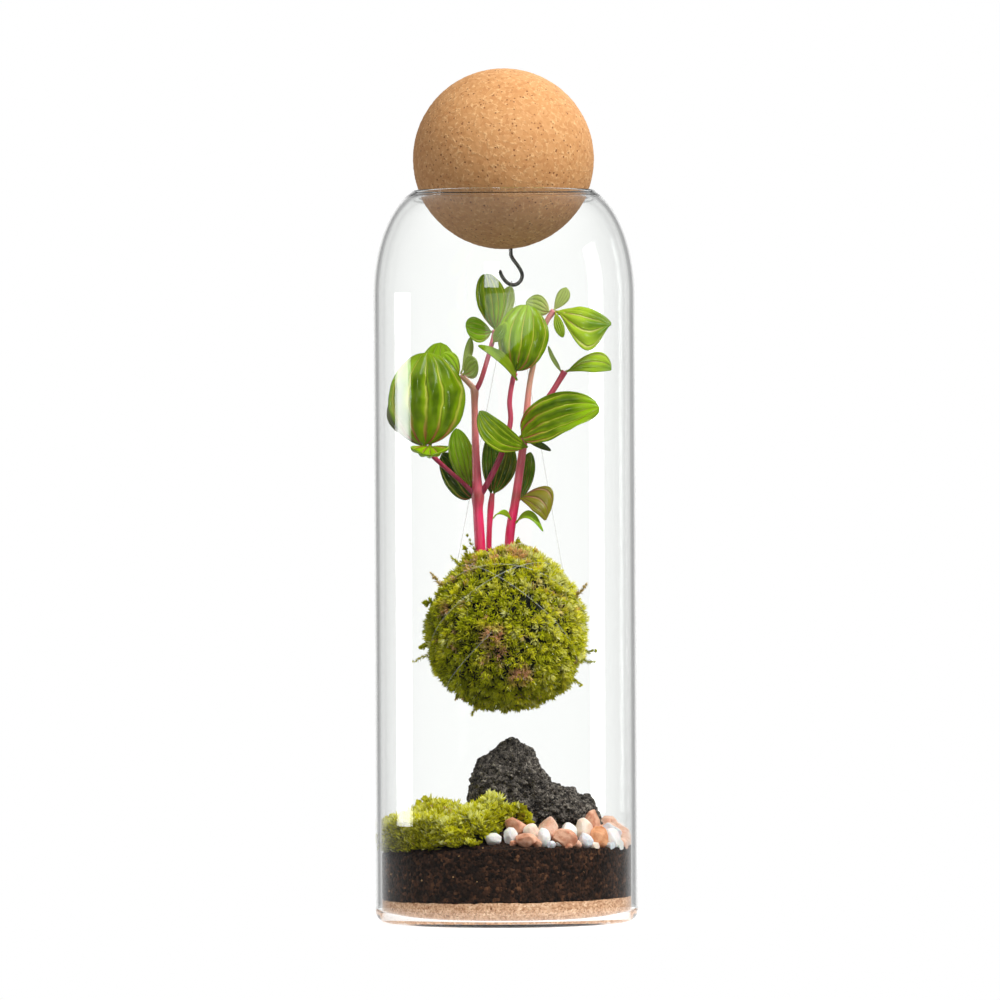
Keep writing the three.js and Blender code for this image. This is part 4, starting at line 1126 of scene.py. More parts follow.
@dataclass
class MossBall(MossBed):
    """The hanging ball: soil and a dark moss core under thousands of shoots."""

    ball: BallForm = BallForm()
    core: float = 28.2
    root_radius: float = 28.0
    count: int = 5400
    neck: tuple[float, float] = (-3.9, 0.1)
    strays: tuple[Point, ...] = (
        (-36.5, -6, 99), (34.5, -5, 99), (-13.5, -6, 79), (-29, -8, 134), (29, -4, 90),
        (-33, -8, 105), (-20, 16, 84), (8, 34, 118), (-31, -4, 122), (31.5, -8, 129),
        (-21, -6, 140), (-15.5, -4, 149), (-16, -3, 144), (12, -8, 142), (35, 2, 103),
        (5, -6, 147),
    )
    sprig: int = 7
    bare: tuple[tuple[Point, float], ...] = (
        ((-5, -29, 109), 3.8), ((-3, -28, 103), 3.6), ((5, -24, 96), 3.8), ((20, -18, 122), 3.0),
        ((-13, -12, 137), 3.0), ((4, -10, 142), 3.4), ((-3, -12, 140), 2.6), ((27, -12, 119), 2.2),
        ((-24, -16, 119), 2.4), ((14, -20, 128), 1.8),
    )

    def build(self) -> None:
        """Makes the core, the plug of root soil and the shoots; the core's near-black is matted
        moss and painted shade.
        """
        core = primitive("moss_core", bpy.ops.mesh.primitive_ico_sphere_add, subdivisions=6,
                         radius=1)
        ways = unit(points_of(core))
        rough = swirl(ways * self.core, 5.0, 4, 3.0)
        set_points(core, self.ball.place(ways, self.core + 0.9 * rough))
        # Near-black tones: partly the matted moss's own colour, partly painted shade in the gaps
        # between shoots.
        matted = Crumbs("matted_moss_and_shade", 1.2, ("0B0E04", "1A2008", "2C3310", "47431C"), "6B4A2C",
                        2.0, 0.16)
        self.deliver(core, [matted], self.slot, self.node)
        plug = remeshed("root_ball", "root_soil_plug", 0.9)
        displace(plug, 0.35 * swirl(points_of(plug), 3.0, 3, 8.0))
        crumbly = Crumbs("crumbly_root_soil", 1.3, ("1A110B", "33241A", "4B3626", "6B5038"),
                         "9A7A4E")
        self.deliver(plug, [crumbly], "root_soil", "root_ball")
        self.make_sprigs()
        self.make_shoots()

    def make_sprigs(self) -> None:
        """Slim loose sprigs, each a row of small shoots out of the ball."""
        rng = np.random.default_rng(31)
        share = np.linspace(0, 0.8, self.sprig)[:, None]
        roots, ways = [], []
        for stray in np.array(self.strays, float):
            foot = self.ball.centre + unit(stray - self.ball.centre) * self.root_radius
            foot += rng.normal(0, 1.5, 3)
            droop = (0, 0, -1.6) * share * (1 - share)
            roots.append(foot + (stray - foot) * share + droop)
            ways.append(stray - foot + rng.normal(0, 1.2, (self.sprig, 3)))
        count = len(self.strays)
        sizes = np.tile(0.75 - 0.4 * share[:, 0], count)
        sizes *= rng.uniform(0.85, 1.15, len(sizes))
        tones = np.repeat(rng.uniform(0.2, 0.7, count), self.sprig)
        dead = np.repeat(rng.random(count) > 0.75, self.sprig) * 0.6
        roots, ways = np.concatenate(roots), np.concatenate(ways)
        self.plant("moss_sprigs", roots, ways, sizes, tones, dead, 77)

    def make_shoots(self) -> None:
        """Shoots all over the ball, clumped, with brown patches, and painted light: lighter tones
        on the right and top.
        """
        rng = np.random.default_rng(12)
        ways = spiral(self.count, 2)
        up = ways[:, 2]
        ways = unit(ways + rng.normal(0, 0.016, ways.shape))
        clump = swirl(ways * self.core, 6.5, 2, 5.0)
        gaps = swirl(ways * self.core, 3.4, 2, 9.0)
        roots = self.ball.place(ways, self.root_radius + 1.1 * clump + 0.5 * gaps)
        aside = np.hypot((roots[:, 0] - self.neck[0]) / 8.6, (roots[:, 1] - self.neck[1]) / 5.2)
        keep = (gaps > -0.36) & ~((roots[:, 2] > self.ball.centre[2]) & (aside < 1))
        sizes = 0.85 + 0.2 * clump + rng.uniform(-0.15, 0.3, self.count)
        growing = ways * 0.8 + rng.normal(0, 0.6, ways.shape) + (0, 0, -0.12)
        for stray in self.strays:
            near = np.linalg.norm(roots - stray, axis=1)
            sizes += 0.3 * np.exp(-(near / 5) ** 2) * rng.uniform(0.3, 1, self.count)
        dead = np.zeros(self.count)
        middle = np.array(self.ball.centre)
        for place, reach in self.bare:
            spot = middle + unit(place - middle) * (self.root_radius + 0.5)
            near = np.linalg.norm(roots - spot, axis=1)
            brown = np.clip(1.6 - near / reach, 0, 1) * (rng.random(self.count) > 0.4)
            dead = np.maximum(dead, brown)
        dead = np.maximum(dead, (rng.random(self.count) > 0.985) * 0.8)
        # Painted light: shoots on the right and top of the ball get lighter tones, as if lit from
        # the upper right.
        right = 0.2 * ways[:, 0] + 0.16 * ways[:, 2]
        tones = np.clip(0.5 + 0.28 * clump + right + rng.normal(0, 0.22, self.count), 0, 1)
        for name, part in (("moss_shoots_upper", up > 0), ("moss_shoots_lower", up <= 0)):
            chosen = keep & part
            self.plant(name, *(a[chosen] for a in (roots, growing, sizes, tones, dead)), len(name))


# ---------------------------------------------------------------- plant


class Tone(Enum):
    """The greens of the leaves; the darkest also paints the shade on leaves that stand behind
    others.
    """

    BRIGHT = LivingLeaf()
    # Darker green for leaves in shade: partly their own deeper green, partly painted shade.
    DARK = LivingLeaf("leaf_dark_shaded", "5E8C0C", "1E3404", "D2D65C", through=0.25)
    GREY = LivingLeaf("leaf_grey_olive", "8C9640", "4A541C", "BFC274", through=0.25)
    FRESH = LivingLeaf("leaf_fresh", "D8F43C", "64980E", "F4F494")
    PALE = LivingLeaf("leaf_pale", "DCEC90", "B0CA5C", "F0F6B8", through=0.45, gloss=0.36)
    LIME = LivingLeaf("leaf_lime", "D4F434", "92C814", "F4F6A0", through=0.5)
    OLIVE = LivingLeaf("leaf_olive", "B8B030", "8A9018", "EAC08C", "F07C8C", 0.45, 0.3)


@dataclass(frozen=True)
class LeafForm:
    """The form of one blade, as the frame has it.

    The edges stand off the midrib by left and right at the widest place. The arch moves the
    middle of the midrib, and a fold of 1 is sharp while 2 is a round cup.
    """

    tone: Tone
    base: Point
    tip: Point
    left: Point
    right: Point
    arch: Point
    widest: float
    round: float
    fold: float = 2.0
    round_right: float | None = None

    def rib(self, u: Array) -> Array:
        """Points of the midrib.

        Args:
            u: how far along it, from 0 to 1.

        Returns:
            The points.
        """
        base, tip, arch = (np.array(p) for p in (self.base, self.tip, self.arch))
        u = u[:, None]
        return base + (tip - base) * u + arch * 4 * u * (1 - u)

    def blade(self, u: Array, v: Array) -> Array:
        """Points of the blade, in millimetres.

        Args:
            u: how far along it, from 0 to 1.
            v: how far across it, from -1 to 1.

        Returns:
            The points.
        """
        skew = math.log(0.5) / math.log(self.widest)
        swell = np.sin(math.pi * np.clip(u, 0, 1) ** skew)
        least = 0.09 * (1 - u) ** 3
        left, right = (
            np.array(edge) * np.maximum(swell ** power, least)[:, None] for edge, power in
            ((self.left, self.round), (self.right, self.round_right or self.round))
        )
        cup = (np.abs(v) ** self.fold)[:, None]
        return self.rib(u) + (right - left) / 2 * v[:, None] + (right + left) / 2 * cup


@dataclass
class Plant(Assembly):
    """The leafy plant: its stems with their shoots, and its leaves."""

    thickness: float = 0.5
    quilt: float = 1.15
    wave: float = 0.6
    crease: float = 0.75
    rib_end: float = 0.86

    def build(self) -> None:
        """Makes the stems, then the leaves."""
        for name, limbs in STEMS.items():
            self.make_stem(name, limbs)
        for name, fields in LEAVES.items():
            slot = "young_leaf" if name in YOUNG_LEAVES else "leaf"
            self.make_leaf(f"leaf_{name}", LeafForm(*fields), slot)

    def make_stem(self, node: str, limbs: Sequence[Sequence[Sequence[float]]]) -> None:
        """One stem with its side shoots.

        Args:
            node: the CAD node.
            limbs: for each limb the points of its axis with its radius there.
        """
        rods = []
        for order, knots in enumerate(limbs):
            line = route(knots, 8)
            knob = 1 + 0.035 * swirl(line[:, :3], 5.0, 2, order + 1.0)
            limb = rod(f"{node}_limb_{order}", line[:, :3], line[:, 3] * knob, 5)
            mark = limb.data.attributes.new("limb", "FLOAT", "POINT")
            mark.data.foreach_set("value", np.full(len(limb.data.vertices), float(order > 0)))
            rods.append(limb)
        self.deliver(joined(f"{node}_skin", rods), [LivingStem()], "pink_stem", node)

    def make_leaf(self, node: str, form: LeafForm, slot: str) -> None:
        """One leaf: its blade, quilted between the veins, with its midrib and stalk.

        Args:
            node: the CAD node.
            form: the leaf's form.
            slot: the name of its material slot.
        """
        length = float(np.linalg.norm(np.subtract(form.tip, form.base)))
        columns, rows = (44, 52) if length > 15 else (24, 30)
        leaf = primitive(f"{node}_blade", bpy.ops.mesh.primitive_grid_add, size=2,
                         x_subdivisions=columns, y_subdivisions=rows, calc_uvs=True)
        leaf.data.uv_layers[0].name = "blade"
        chart = points_of(leaf)
        v, u = chart[:, 0], (chart[:, 1] + 1) / 2
        size = min(1.0, float(np.linalg.norm(np.subtract(form.right, form.left))) / 22)
        blade = form.blade(u, v)
        set_points(leaf, blade)
        out = points_of(leaf, "normal")
        front = -1.0 if out[:, 1].mean() > 0 else 1.0
        belly = np.sin(math.pi * u)
        quilt = self.quilt * np.sin(math.pi * v / LivingLeaf.vein_spacing) ** 2
        wave = self.wave * np.abs(v) ** 5 * np.sin(u * length / 4.2 + form.base[2])
        crease = self.crease * swirl(blade, 7.0, 2, form.tip[0] * 0.1)
        lift = front * size * (quilt + wave + crease) * belly
        set_points(leaf, blade + out * lift[:, None])
        modify(leaf, "SOLIDIFY", thickness=self.thickness * (0.6 + 0.4 * size), offset=0)
        edit(leaf, merge(0.002))
        whole = joined(f"{node}_blade", [leaf, self.make_rib(form, front, size)])
        self.deliver(whole, [form.tone.value, LeafVein()], slot, node)

    def make_rib(self, form: LeafForm, front: float, size: float) -> Object:
        """The stalk and the midrib, which stands out of the back of the blade.

        Args:
            form: the leaf's form.
            front: 1 or -1, the side that faces forward.
            size: the leaf's size, up to 1.

        Returns:
            The rib with its own material index.
        """
        u = np.linspace(0, self.rib_end, 26)
        line = form.rib(u)
        along = unit(line[1] - line[0])
        stalk = line[0] - along * np.linspace(0.9, 0.25, 4)[:, None]
        across = unit(np.subtract(form.right, form.left))
        back = unit(np.cross(across, unit(np.subtract(form.tip, form.base)))) * -front
        sink = 0.12 * smoothstep(u, 0, 0.15)[:, None] * back
        radii = np.concatenate([np.full(4, 0.62), 0.6 - 0.46 * (u / self.rib_end) ** 0.6])
        rib = rod("rib", np.concatenate([stalk, line + sink]), radii * (0.55 + 0.45 * size), 3)
        rib.data.uv_layers.new(name="blade")
        set_kind(rib, 1, 2)
        return rib


# Each limb's axis, bottom to top, as x, y, z and radius; the first limb is the main one.
STEMS = {
    "stem_left": (
        ((-7.5, -1.2, 127, 1.5), (-9, -1.8, 136, 2), (-9.8, -2, 148, 2.05),
         (-10.3, -2, 157, 1.95), (-10.3, -2, 162.3, 2.5), (-10.6, -2, 168, 1.8),
         (-11.1, -2, 181, 1.45), (-11.4, -2, 196, 1.25), (-11.4, -2, 201.8, 1.6),
         (-12.6, -1.7, 204, 1.15), (-16.6, -1.2, 208.2, 1.05)),
        ((-11.4, -2, 201.4, 1.0), (-9, -2.4, 206, 0.95), (-6.6, -2.8, 213.5, 0.9),
         (-4.3, -3.2, 221.5, 0.95), (-3.3, -3.4, 225, 1.15)),
        ((-10.6, -2, 161.4, 1.0), (-15.2, -3.2, 166.4, 0.9), (-22, -5.2, 172.4, 0.85),
         (-27, -7, 177.2, 0.95), (-29.6, -8.2, 181, 0.85)),
        ((-10, -2, 161.4, 1.2), (-6.4, -3.2, 167.4, 1.15), (-1.6, -4.2, 177.2, 1.1),
         (2.1, -4.4, 189.5, 1.0), (1.9, -4.6, 198, 0.95), (3, -5, 205.4, 0.95),
         (4, -5.2, 208.8, 1.1)),
    ),
    "stem_middle": (
        ((-5.4, 2.6, 130, 0.8), (-6.2, 3, 140, 1.05), (-6, 3.2, 150, 1.1),
         (-5.4, 3.2, 158, 1.3), (-4.8, 3.4, 163, 0.9)),
    ),
    "stem_right": (
        ((0.4, 0.2, 129, 1.3), (1.2, 0.2, 139, 1.75), (2, 0, 149, 1.8), (4, 0, 160.5, 1.7),
         (6.3, 0, 176, 1.55), (7.9, 0, 188, 1.45), (9.1, 0, 201, 1.15),
         (10.4, -0.1, 209, 1.05), (13, -0.4, 219.5, 1.0), (16, -0.8, 228, 1.0),
         (19, -1, 232.6, 1.25)),
        ((7.8, 0, 187, 1.2), (11.4, 0.8, 192.6, 1.15), (17.2, 1.2, 200.2, 1.1),
         (20.8, 1, 205.8, 1.1), (23, 0.6, 209.4, 1.25)),
    ),
}

# Each leaf, as the fields of LeafForm.
LEAVES = {
    # On the left stem's low shoot.
    "big_left": (Tone.BRIGHT, (-30.6, -8.9, 181.9), (-29.2, -7, 216.6), (-13.6, 2.6, 0.8),
        (15, 4.6, -0.6), (0, -5.5, 0), 0.5, 0.5),
    "far_left": (Tone.GREY, (-30, -6.7, 181.2), (-43.4, 7.6, 200), (-4, -3, -4), (5, 3, 4),
        (-2, 0, 1.4), 0.56, 0.6),
    "left_behind": (Tone.LIME, (-28.3, -6.9, 181.1), (-24.2, 3.4, 220.6), (-7.4, 1, 1),
        (7.2, 1, -1), (0, 4.4, 0), 0.68, 0.5),
    "left_below": (Tone.BRIGHT, (-28.3, -9.6, 180.7), (-28.2, -25.4, 177.6), (-7.6, 0, 3.2),
        (7.4, 0, 3.4), (0, 0, -2), 0.5, 0.6),
    # At the tip of the left stem.
    "tip_upright": (Tone.PALE, (-16.3, -0.7, 209.4), (-12.8, 1.6, 222.6), (-1.7, 1.4, 0.4),
        (1.5, 1.4, -0.4), (0.8, 0, 0), 0.6, 0.7, 1.2),
    "tip_right": (Tone.PALE, (-15.3, -2.2, 208.7), (-10.4, -7, 213.4), (-1.6, 1, 3.2),
        (1.6, -2, -4.6), (0.6, 0, 0.8), 0.5, 0.6),
    "tip_left": (Tone.LIME, (-17.6, -1.8, 208), (-23.6, -4.6, 216.2), (-2.6, -1, -1.8), (3, 1, 2.6),
        (-0.6, 0, 0.8), 0.5, 0.6),
    # On the left stem's top shoot.
    "top_left": (Tone.BRIGHT, (-3.6, -3.7, 225.8), (-6.8, -6.4, 246.4), (-5.4, 1.4, 0.2),
        (5.2, 3, 1.4), (0.4, -2.2, 0), 0.56, 0.52),
    "lime": (Tone.LIME, (-5.2, -2.9, 224.6), (-14.6, -0.6, 226.6), (0.4, -1.6, -5.2),
        (-0.6, 1.4, 4.4), (0, 0.8, 0), 0.56, 0.5),
    "top_pale": (Tone.PALE, (-2.6, -2.5, 225.4), (2.4, 7.4, 242), (-3, 0.8, 0.6), (3.2, 0.4, -0.6),
        (0, 2.8, 0), 0.6, 0.55),
    "small_light": (Tone.LIME, (-3.9, -4.5, 220.7), (0.8, -11.8, 228), (-1.8, -0.4, 1),
        (1.6, -0.6, -1.6), (0, -1.8, 0), 0.5, 0.6),
    # On the left stem's middle shoot.
    "big_centre": (Tone.BRIGHT, (4.3, -5.2, 209.8), (8.8, -1.5, 234.6), (-8.8, 3, 1.8),
        (9.8, 3.4, -2), (0, -4.4, 0), 0.5, 0.5),
    "edge_on": (Tone.BRIGHT, (4.4, -7.1, 206.8), (-9.8, -16.5, 219.2), (-1.3, -4.4, -1.4),
        (1, 3.2, 1.4), (1.4, -0.6, 1.6), 0.5, 0.6),
    # At the top of the right stem.
    "right_rear": (Tone.PALE, (16.9, -0.2, 232.3), (8.4, 2.8, 235.8), (-0.8, -1.4, -3.8),
        (1.4, 1.4, 3.6), (0, 0.6, 0.6), 0.52, 0.52),
    "right_upright": (Tone.PALE, (19.2, -0.8, 233), (23.8, 0, 241.2), (-2.2, 0.2, 1),
        (2.2, 0.2, -1), (0.6, 0, 0), 0.6, 0.55),
    "right_folded": (Tone.FRESH, (20.3, -1.3, 232), (40.4, -4.6, 226.8), (2.4, 4, 2.4),
        (0.6, -4.6, -12.8), (0, -1.6, 0.6), 0.5, 0.5, 1.3, 1.3),
    "right_drooping": (Tone.FRESH, (19.6, -2.6, 231.3), (22.2, -5.6, 222.2), (-1.8, 0.3, -0.4),
        (1.8, -0.4, 0.4), (-0.2, -1, 0), 0.55, 0.6),
    # On the right stem's low shoot.
    "sliver": (Tone.PALE, (21.4, 1.2, 209.7), (16.8, 2.8, 219), (-0.7, -2.2, -0.4), (0.7, 2.2, 0.4),
        (-0.2, 0, -0.6), 0.5, 0.6),
    "right_small": (Tone.FRESH, (24.2, 0.3, 209.5), (40.6, -2.4, 210), (1.6, 3.6, 6.4),
        (0.4, -4.6, -1), (0, 0, 0.6), 0.6, 0.55, 1.2),
    # On the right stem itself.
    "big_right": (Tone.BRIGHT, (6.5, -1.9, 184.8), (35.6, -9.6, 195.6), (-2.8, 2.6, 9.2),
        (1.6, -7.6, -6.2), (0, -3.2, 1.6), 0.42, 0.44, 1.5),
    "curled": (Tone.BRIGHT, (7.9, -2.1, 180.8), (-9.6, -10.4, 194.2), (-3.4, -4, -5), (3, 3, 3),
        (-1.2, -4, -2.2), 0.55, 0.5),
    "narrow_right": (Tone.DARK, (9.1, 0.3, 182.7), (17.6, 3.8, 179.2), (0.2, -1.8, 1.2),
        (-0.2, 1.8, -1.2), (0, 0, 0.6), 0.5, 0.6),
    # Low, behind the stems; their darkest green paints the shade they stand in.
    "dark_low": (Tone.DARK, (-12.5, -0.1, 161.8), (-24, 3.6, 178.2), (-4.6, 1, -5.6), (3, 0.6, 3),
        (1.2, 0.8, 0.6), 0.5, 0.5),
    "left_inner": (Tone.LIME, (-13.1, 0, 165.6), (-18.6, 0.8, 187.8), (-4.8, 0.2, -2),
        (4.2, 0.4, 1), (0, 0.2, 0), 0.56, 0.55),
    "centre_low": (Tone.DARK, (-4, 3.7, 163.3), (1.4, 5.6, 182.6), (-4.2, 1.2, 0.8),
        (4.4, 1.2, -0.8), (1, 1, 0), 0.5, 0.55),
    "centre_behind": (Tone.DARK, (-5.4, 4.7, 163.1), (-5.2, 12, 186), (-3.4, 1, 0), (3.4, 1, 0),
        (0, 2.4, 0), 0.56, 0.55),
    "right_inner": (Tone.DARK, (5.6, 2.1, 161), (9.8, 9, 178.6), (-3.4, 1, 0.6), (3.4, 1, -0.6),
        (0, 2, 0), 0.5, 0.55),
    "olive": (Tone.OLIVE, (6.2, -0.5, 160.9), (15.6, -3.6, 153), (-0.8, -3, -1.2), (5, 2.4, 7.6),
        (1, -2, 1), 0.56, 0.48),
    # Young leaves at the foot of the right stem.
    "lime_left": (Tone.LIME, (1.8, -2, 153.8), (-4.6, -8.6, 153.4), (-1, -1.2, -0.8), (1, 1, 0.8),
        (0, 0, 2.4), 0.5, 0.6),
    "lime_right": (Tone.LIME, (4.6, -1.4, 152.4), (14.4, -6.2, 148.6), (-0.4, -2.6, -1.2),
        (0.4, 2.6, 1.6), (0, 0, 4), 0.5, 0.6),
}

YOUNG_LEAVES = (
    "lime", "top_pale", "small_light", "lime_left", "lime_right", "tip_upright", "tip_left",
    "tip_right", "left_inner",
)


# ---------------------------------------------------------------- ground


@dataclass(frozen=True)
class GroundForm:
    """The heights of the sand and the soil, as the frame has them."""

    radius: float = 47.5
    base: float = 2.3
    corner: float = 3.3
    sand_top: float = 9.5
    soil_edge: float = 30.0
    crown: float = 7.5

    def sand(self, x: Array, y: Array) -> Array:
        """The height of the sand."""
        return self.sand_top + 0.012 * x + 0.3 * lumps(x, y, 31, 0.4)

    def soil(self, x: Array, y: Array) -> Array:
        """The height of the soil.

        Args:
            x: where, in millimetres.
            y: where, in millimetres.

        Returns:
            The height there.
        """
        crown = self.crown * smoothstep(1 - np.hypot(x, y) / self.radius, 0, 0.45)
        sink = np.where(x < 0, 1.6, 1.0) * (x / self.radius) ** 2
        return self.soil_edge - sink + crown + 0.5 * lumps(x, y, 24, 2.1)

    def fringe(self, points: Array) -> Array:
        """The height that the moss hangs down to along the wall."""
        return 27.2 + 0.1 * (points[:, 0] + 45) + 1.4 * swirl(points * (1, 1, 0), 5.0, 2, 3.0)


@dataclass
class Ground(Assembly):
    """The sand, the soil and the lava rock."""

    form: GroundForm = GroundForm()
    around: int = 220
    step: float = 1.2

    def build(self) -> None:
        """Makes the two fillings and the rock."""
        form = self.form
        sand = Crumbs("quartz_sand", 0.6, ("B48460", "D6A884", "E8C09C", "FADAB8"), "7A4A2C",
                      1.5, 0.16, 0.25, 0.9)
        bed = self.filling("sand_bed", lambda x, y: form.base, form.sand, 0.28)
        self.deliver(bed, [sand], "sand", "sand_layer")
        soil = Crumbs("moist_potting_soil", 1.05, ("120A06", "2A1A10", "42291A", "6E4A30"),
                      "B08A5C", 1.6, 0.06, 0.7)
        bed = self.filling("soil_bed", lambda x, y: form.sand(x, y) + 0.1, form.soil, 0.5, True)
        self.deliver(bed, [soil], "potting_soil", "soil_layer")
        self.rock()

    def filling(
        self, name: str, lower: Callable, upper: Callable, rough: float, mossy: bool = False,
    ) -> Object:
        """A filling of the jar between two heights; no grain stands out past the jar's wall.

        Args:
            name: the piece's name.
            lower: its lowest height over x and y.
            upper: its highest height over x and y.
            rough: how far its grains stand in and out.
            mossy: whether it draws back where moss hangs down along the wall.

        Returns:
            The filling.
        """
        form, radius = self.form, self.form.radius
        rows = max(6, round(float(upper(0.0, 0.0) - 6) / self.step))
        rings = round(radius / self.step)
        bed = primitive(name, bpy.ops.mesh.primitive_circle_add, vertices=self.around,
                        radius=radius, fill_type="NGON")

        def raise_wall() -> None:
            """Raises the wall row by row, then closes the top ring by ring."""
            bpy.ops.mesh.delete(type="ONLY_FACE")
            bpy.ops.mesh.select_all(action="SELECT")
            bpy.ops.mesh.select_mode(type="EDGE")
            for _ in range(rows):
                bpy.ops.mesh.extrude_region_move(TRANSFORM_OT_translate={"value": (0, 0, 1)})
            for ring in range(1, rings):
                share = (rings - ring) / (rings - ring + 1)
                bpy.ops.mesh.extrude_region_move()
                bpy.ops.transform.resize(value=(share, share, 1))
            bpy.ops.mesh.merge(type="COLLAPSE")

        def close_foot() -> None:
            """Closes the open underside."""
            bpy.ops.mesh.select_mode(type="EDGE")
            bpy.ops.mesh.select_non_manifold()
            bpy.ops.mesh.edge_face_add()
            bpy.ops.mesh.select_all(action="SELECT")

        edit(bed, raise_wall)
        points = points_of(bed)
        x, y = points[:, 0], points[:, 1]
        share = np.where(level_reach(points) > radius - 0.01, points[:, 2] / rows, 1.0)
        low, high = lower(x, y), upper(x, y)
        points[:, 2] = low + (high - low) * share
        set_points(bed, points)
        edit(bed, close_foot, merge(0.002))
        modify(bed, "SUBSURF", subdivision_type="SIMPLE", levels=1, render_levels=1)
        points = points_of(bed)
        grain = pits(points, 1.9, rough) - 0.45 + 0.6 * swirl(points, 2.6, 2, rough)
        points += points_of(bed, "normal") * (rough * grain)[:, None]
        if mossy:
            drawn = smoothstep(-points[:, 0], 0, 8) * (points[:, 2] > form.fringe(points) - 1)
            points[:, :2] *= (1 - 0.045 * drawn)[:, None]
        points[:, 2] = np.maximum(points[:, 2], form.base)
        corner = np.maximum(form.corner - (points[:, 2] - form.base), 0)
        keep_within(points, form.radius - corner ** 2 / (2.2 * form.corner))
        set_points(bed, points)
        return bed

    def rock(self) -> None:
        """The lava rock: its form from the frame, with knobs, ledges and gas bubbles."""
        rock = remeshed("lava_rock", "lava_stone", 0.45)
        modify(rock, "SMOOTH", factor=0.5, iterations=3)
        points = points_of(rock)
        knobs = 1.1 * swirl(points, 7.0, 5, 2.0) + 0.7 * swirl(points, 2.2, 3, 6.0)
        holes = 0.9 * pits(points, 3.1, 1.0) + 0.6 * pits(points, 1.5, 4.0)
        displace(rock, knobs + 0.5 - holes)
        basalt = Crumbs("vesicular_basalt", 0.8, ("262320", "504A44", "7A736A", "B4AC9F"),
                        "B4AB9D", 1.1, 0.06, 0.7, 0.8)
        self.deliver(rock, [basalt], "lava_stone", "lava_rock")


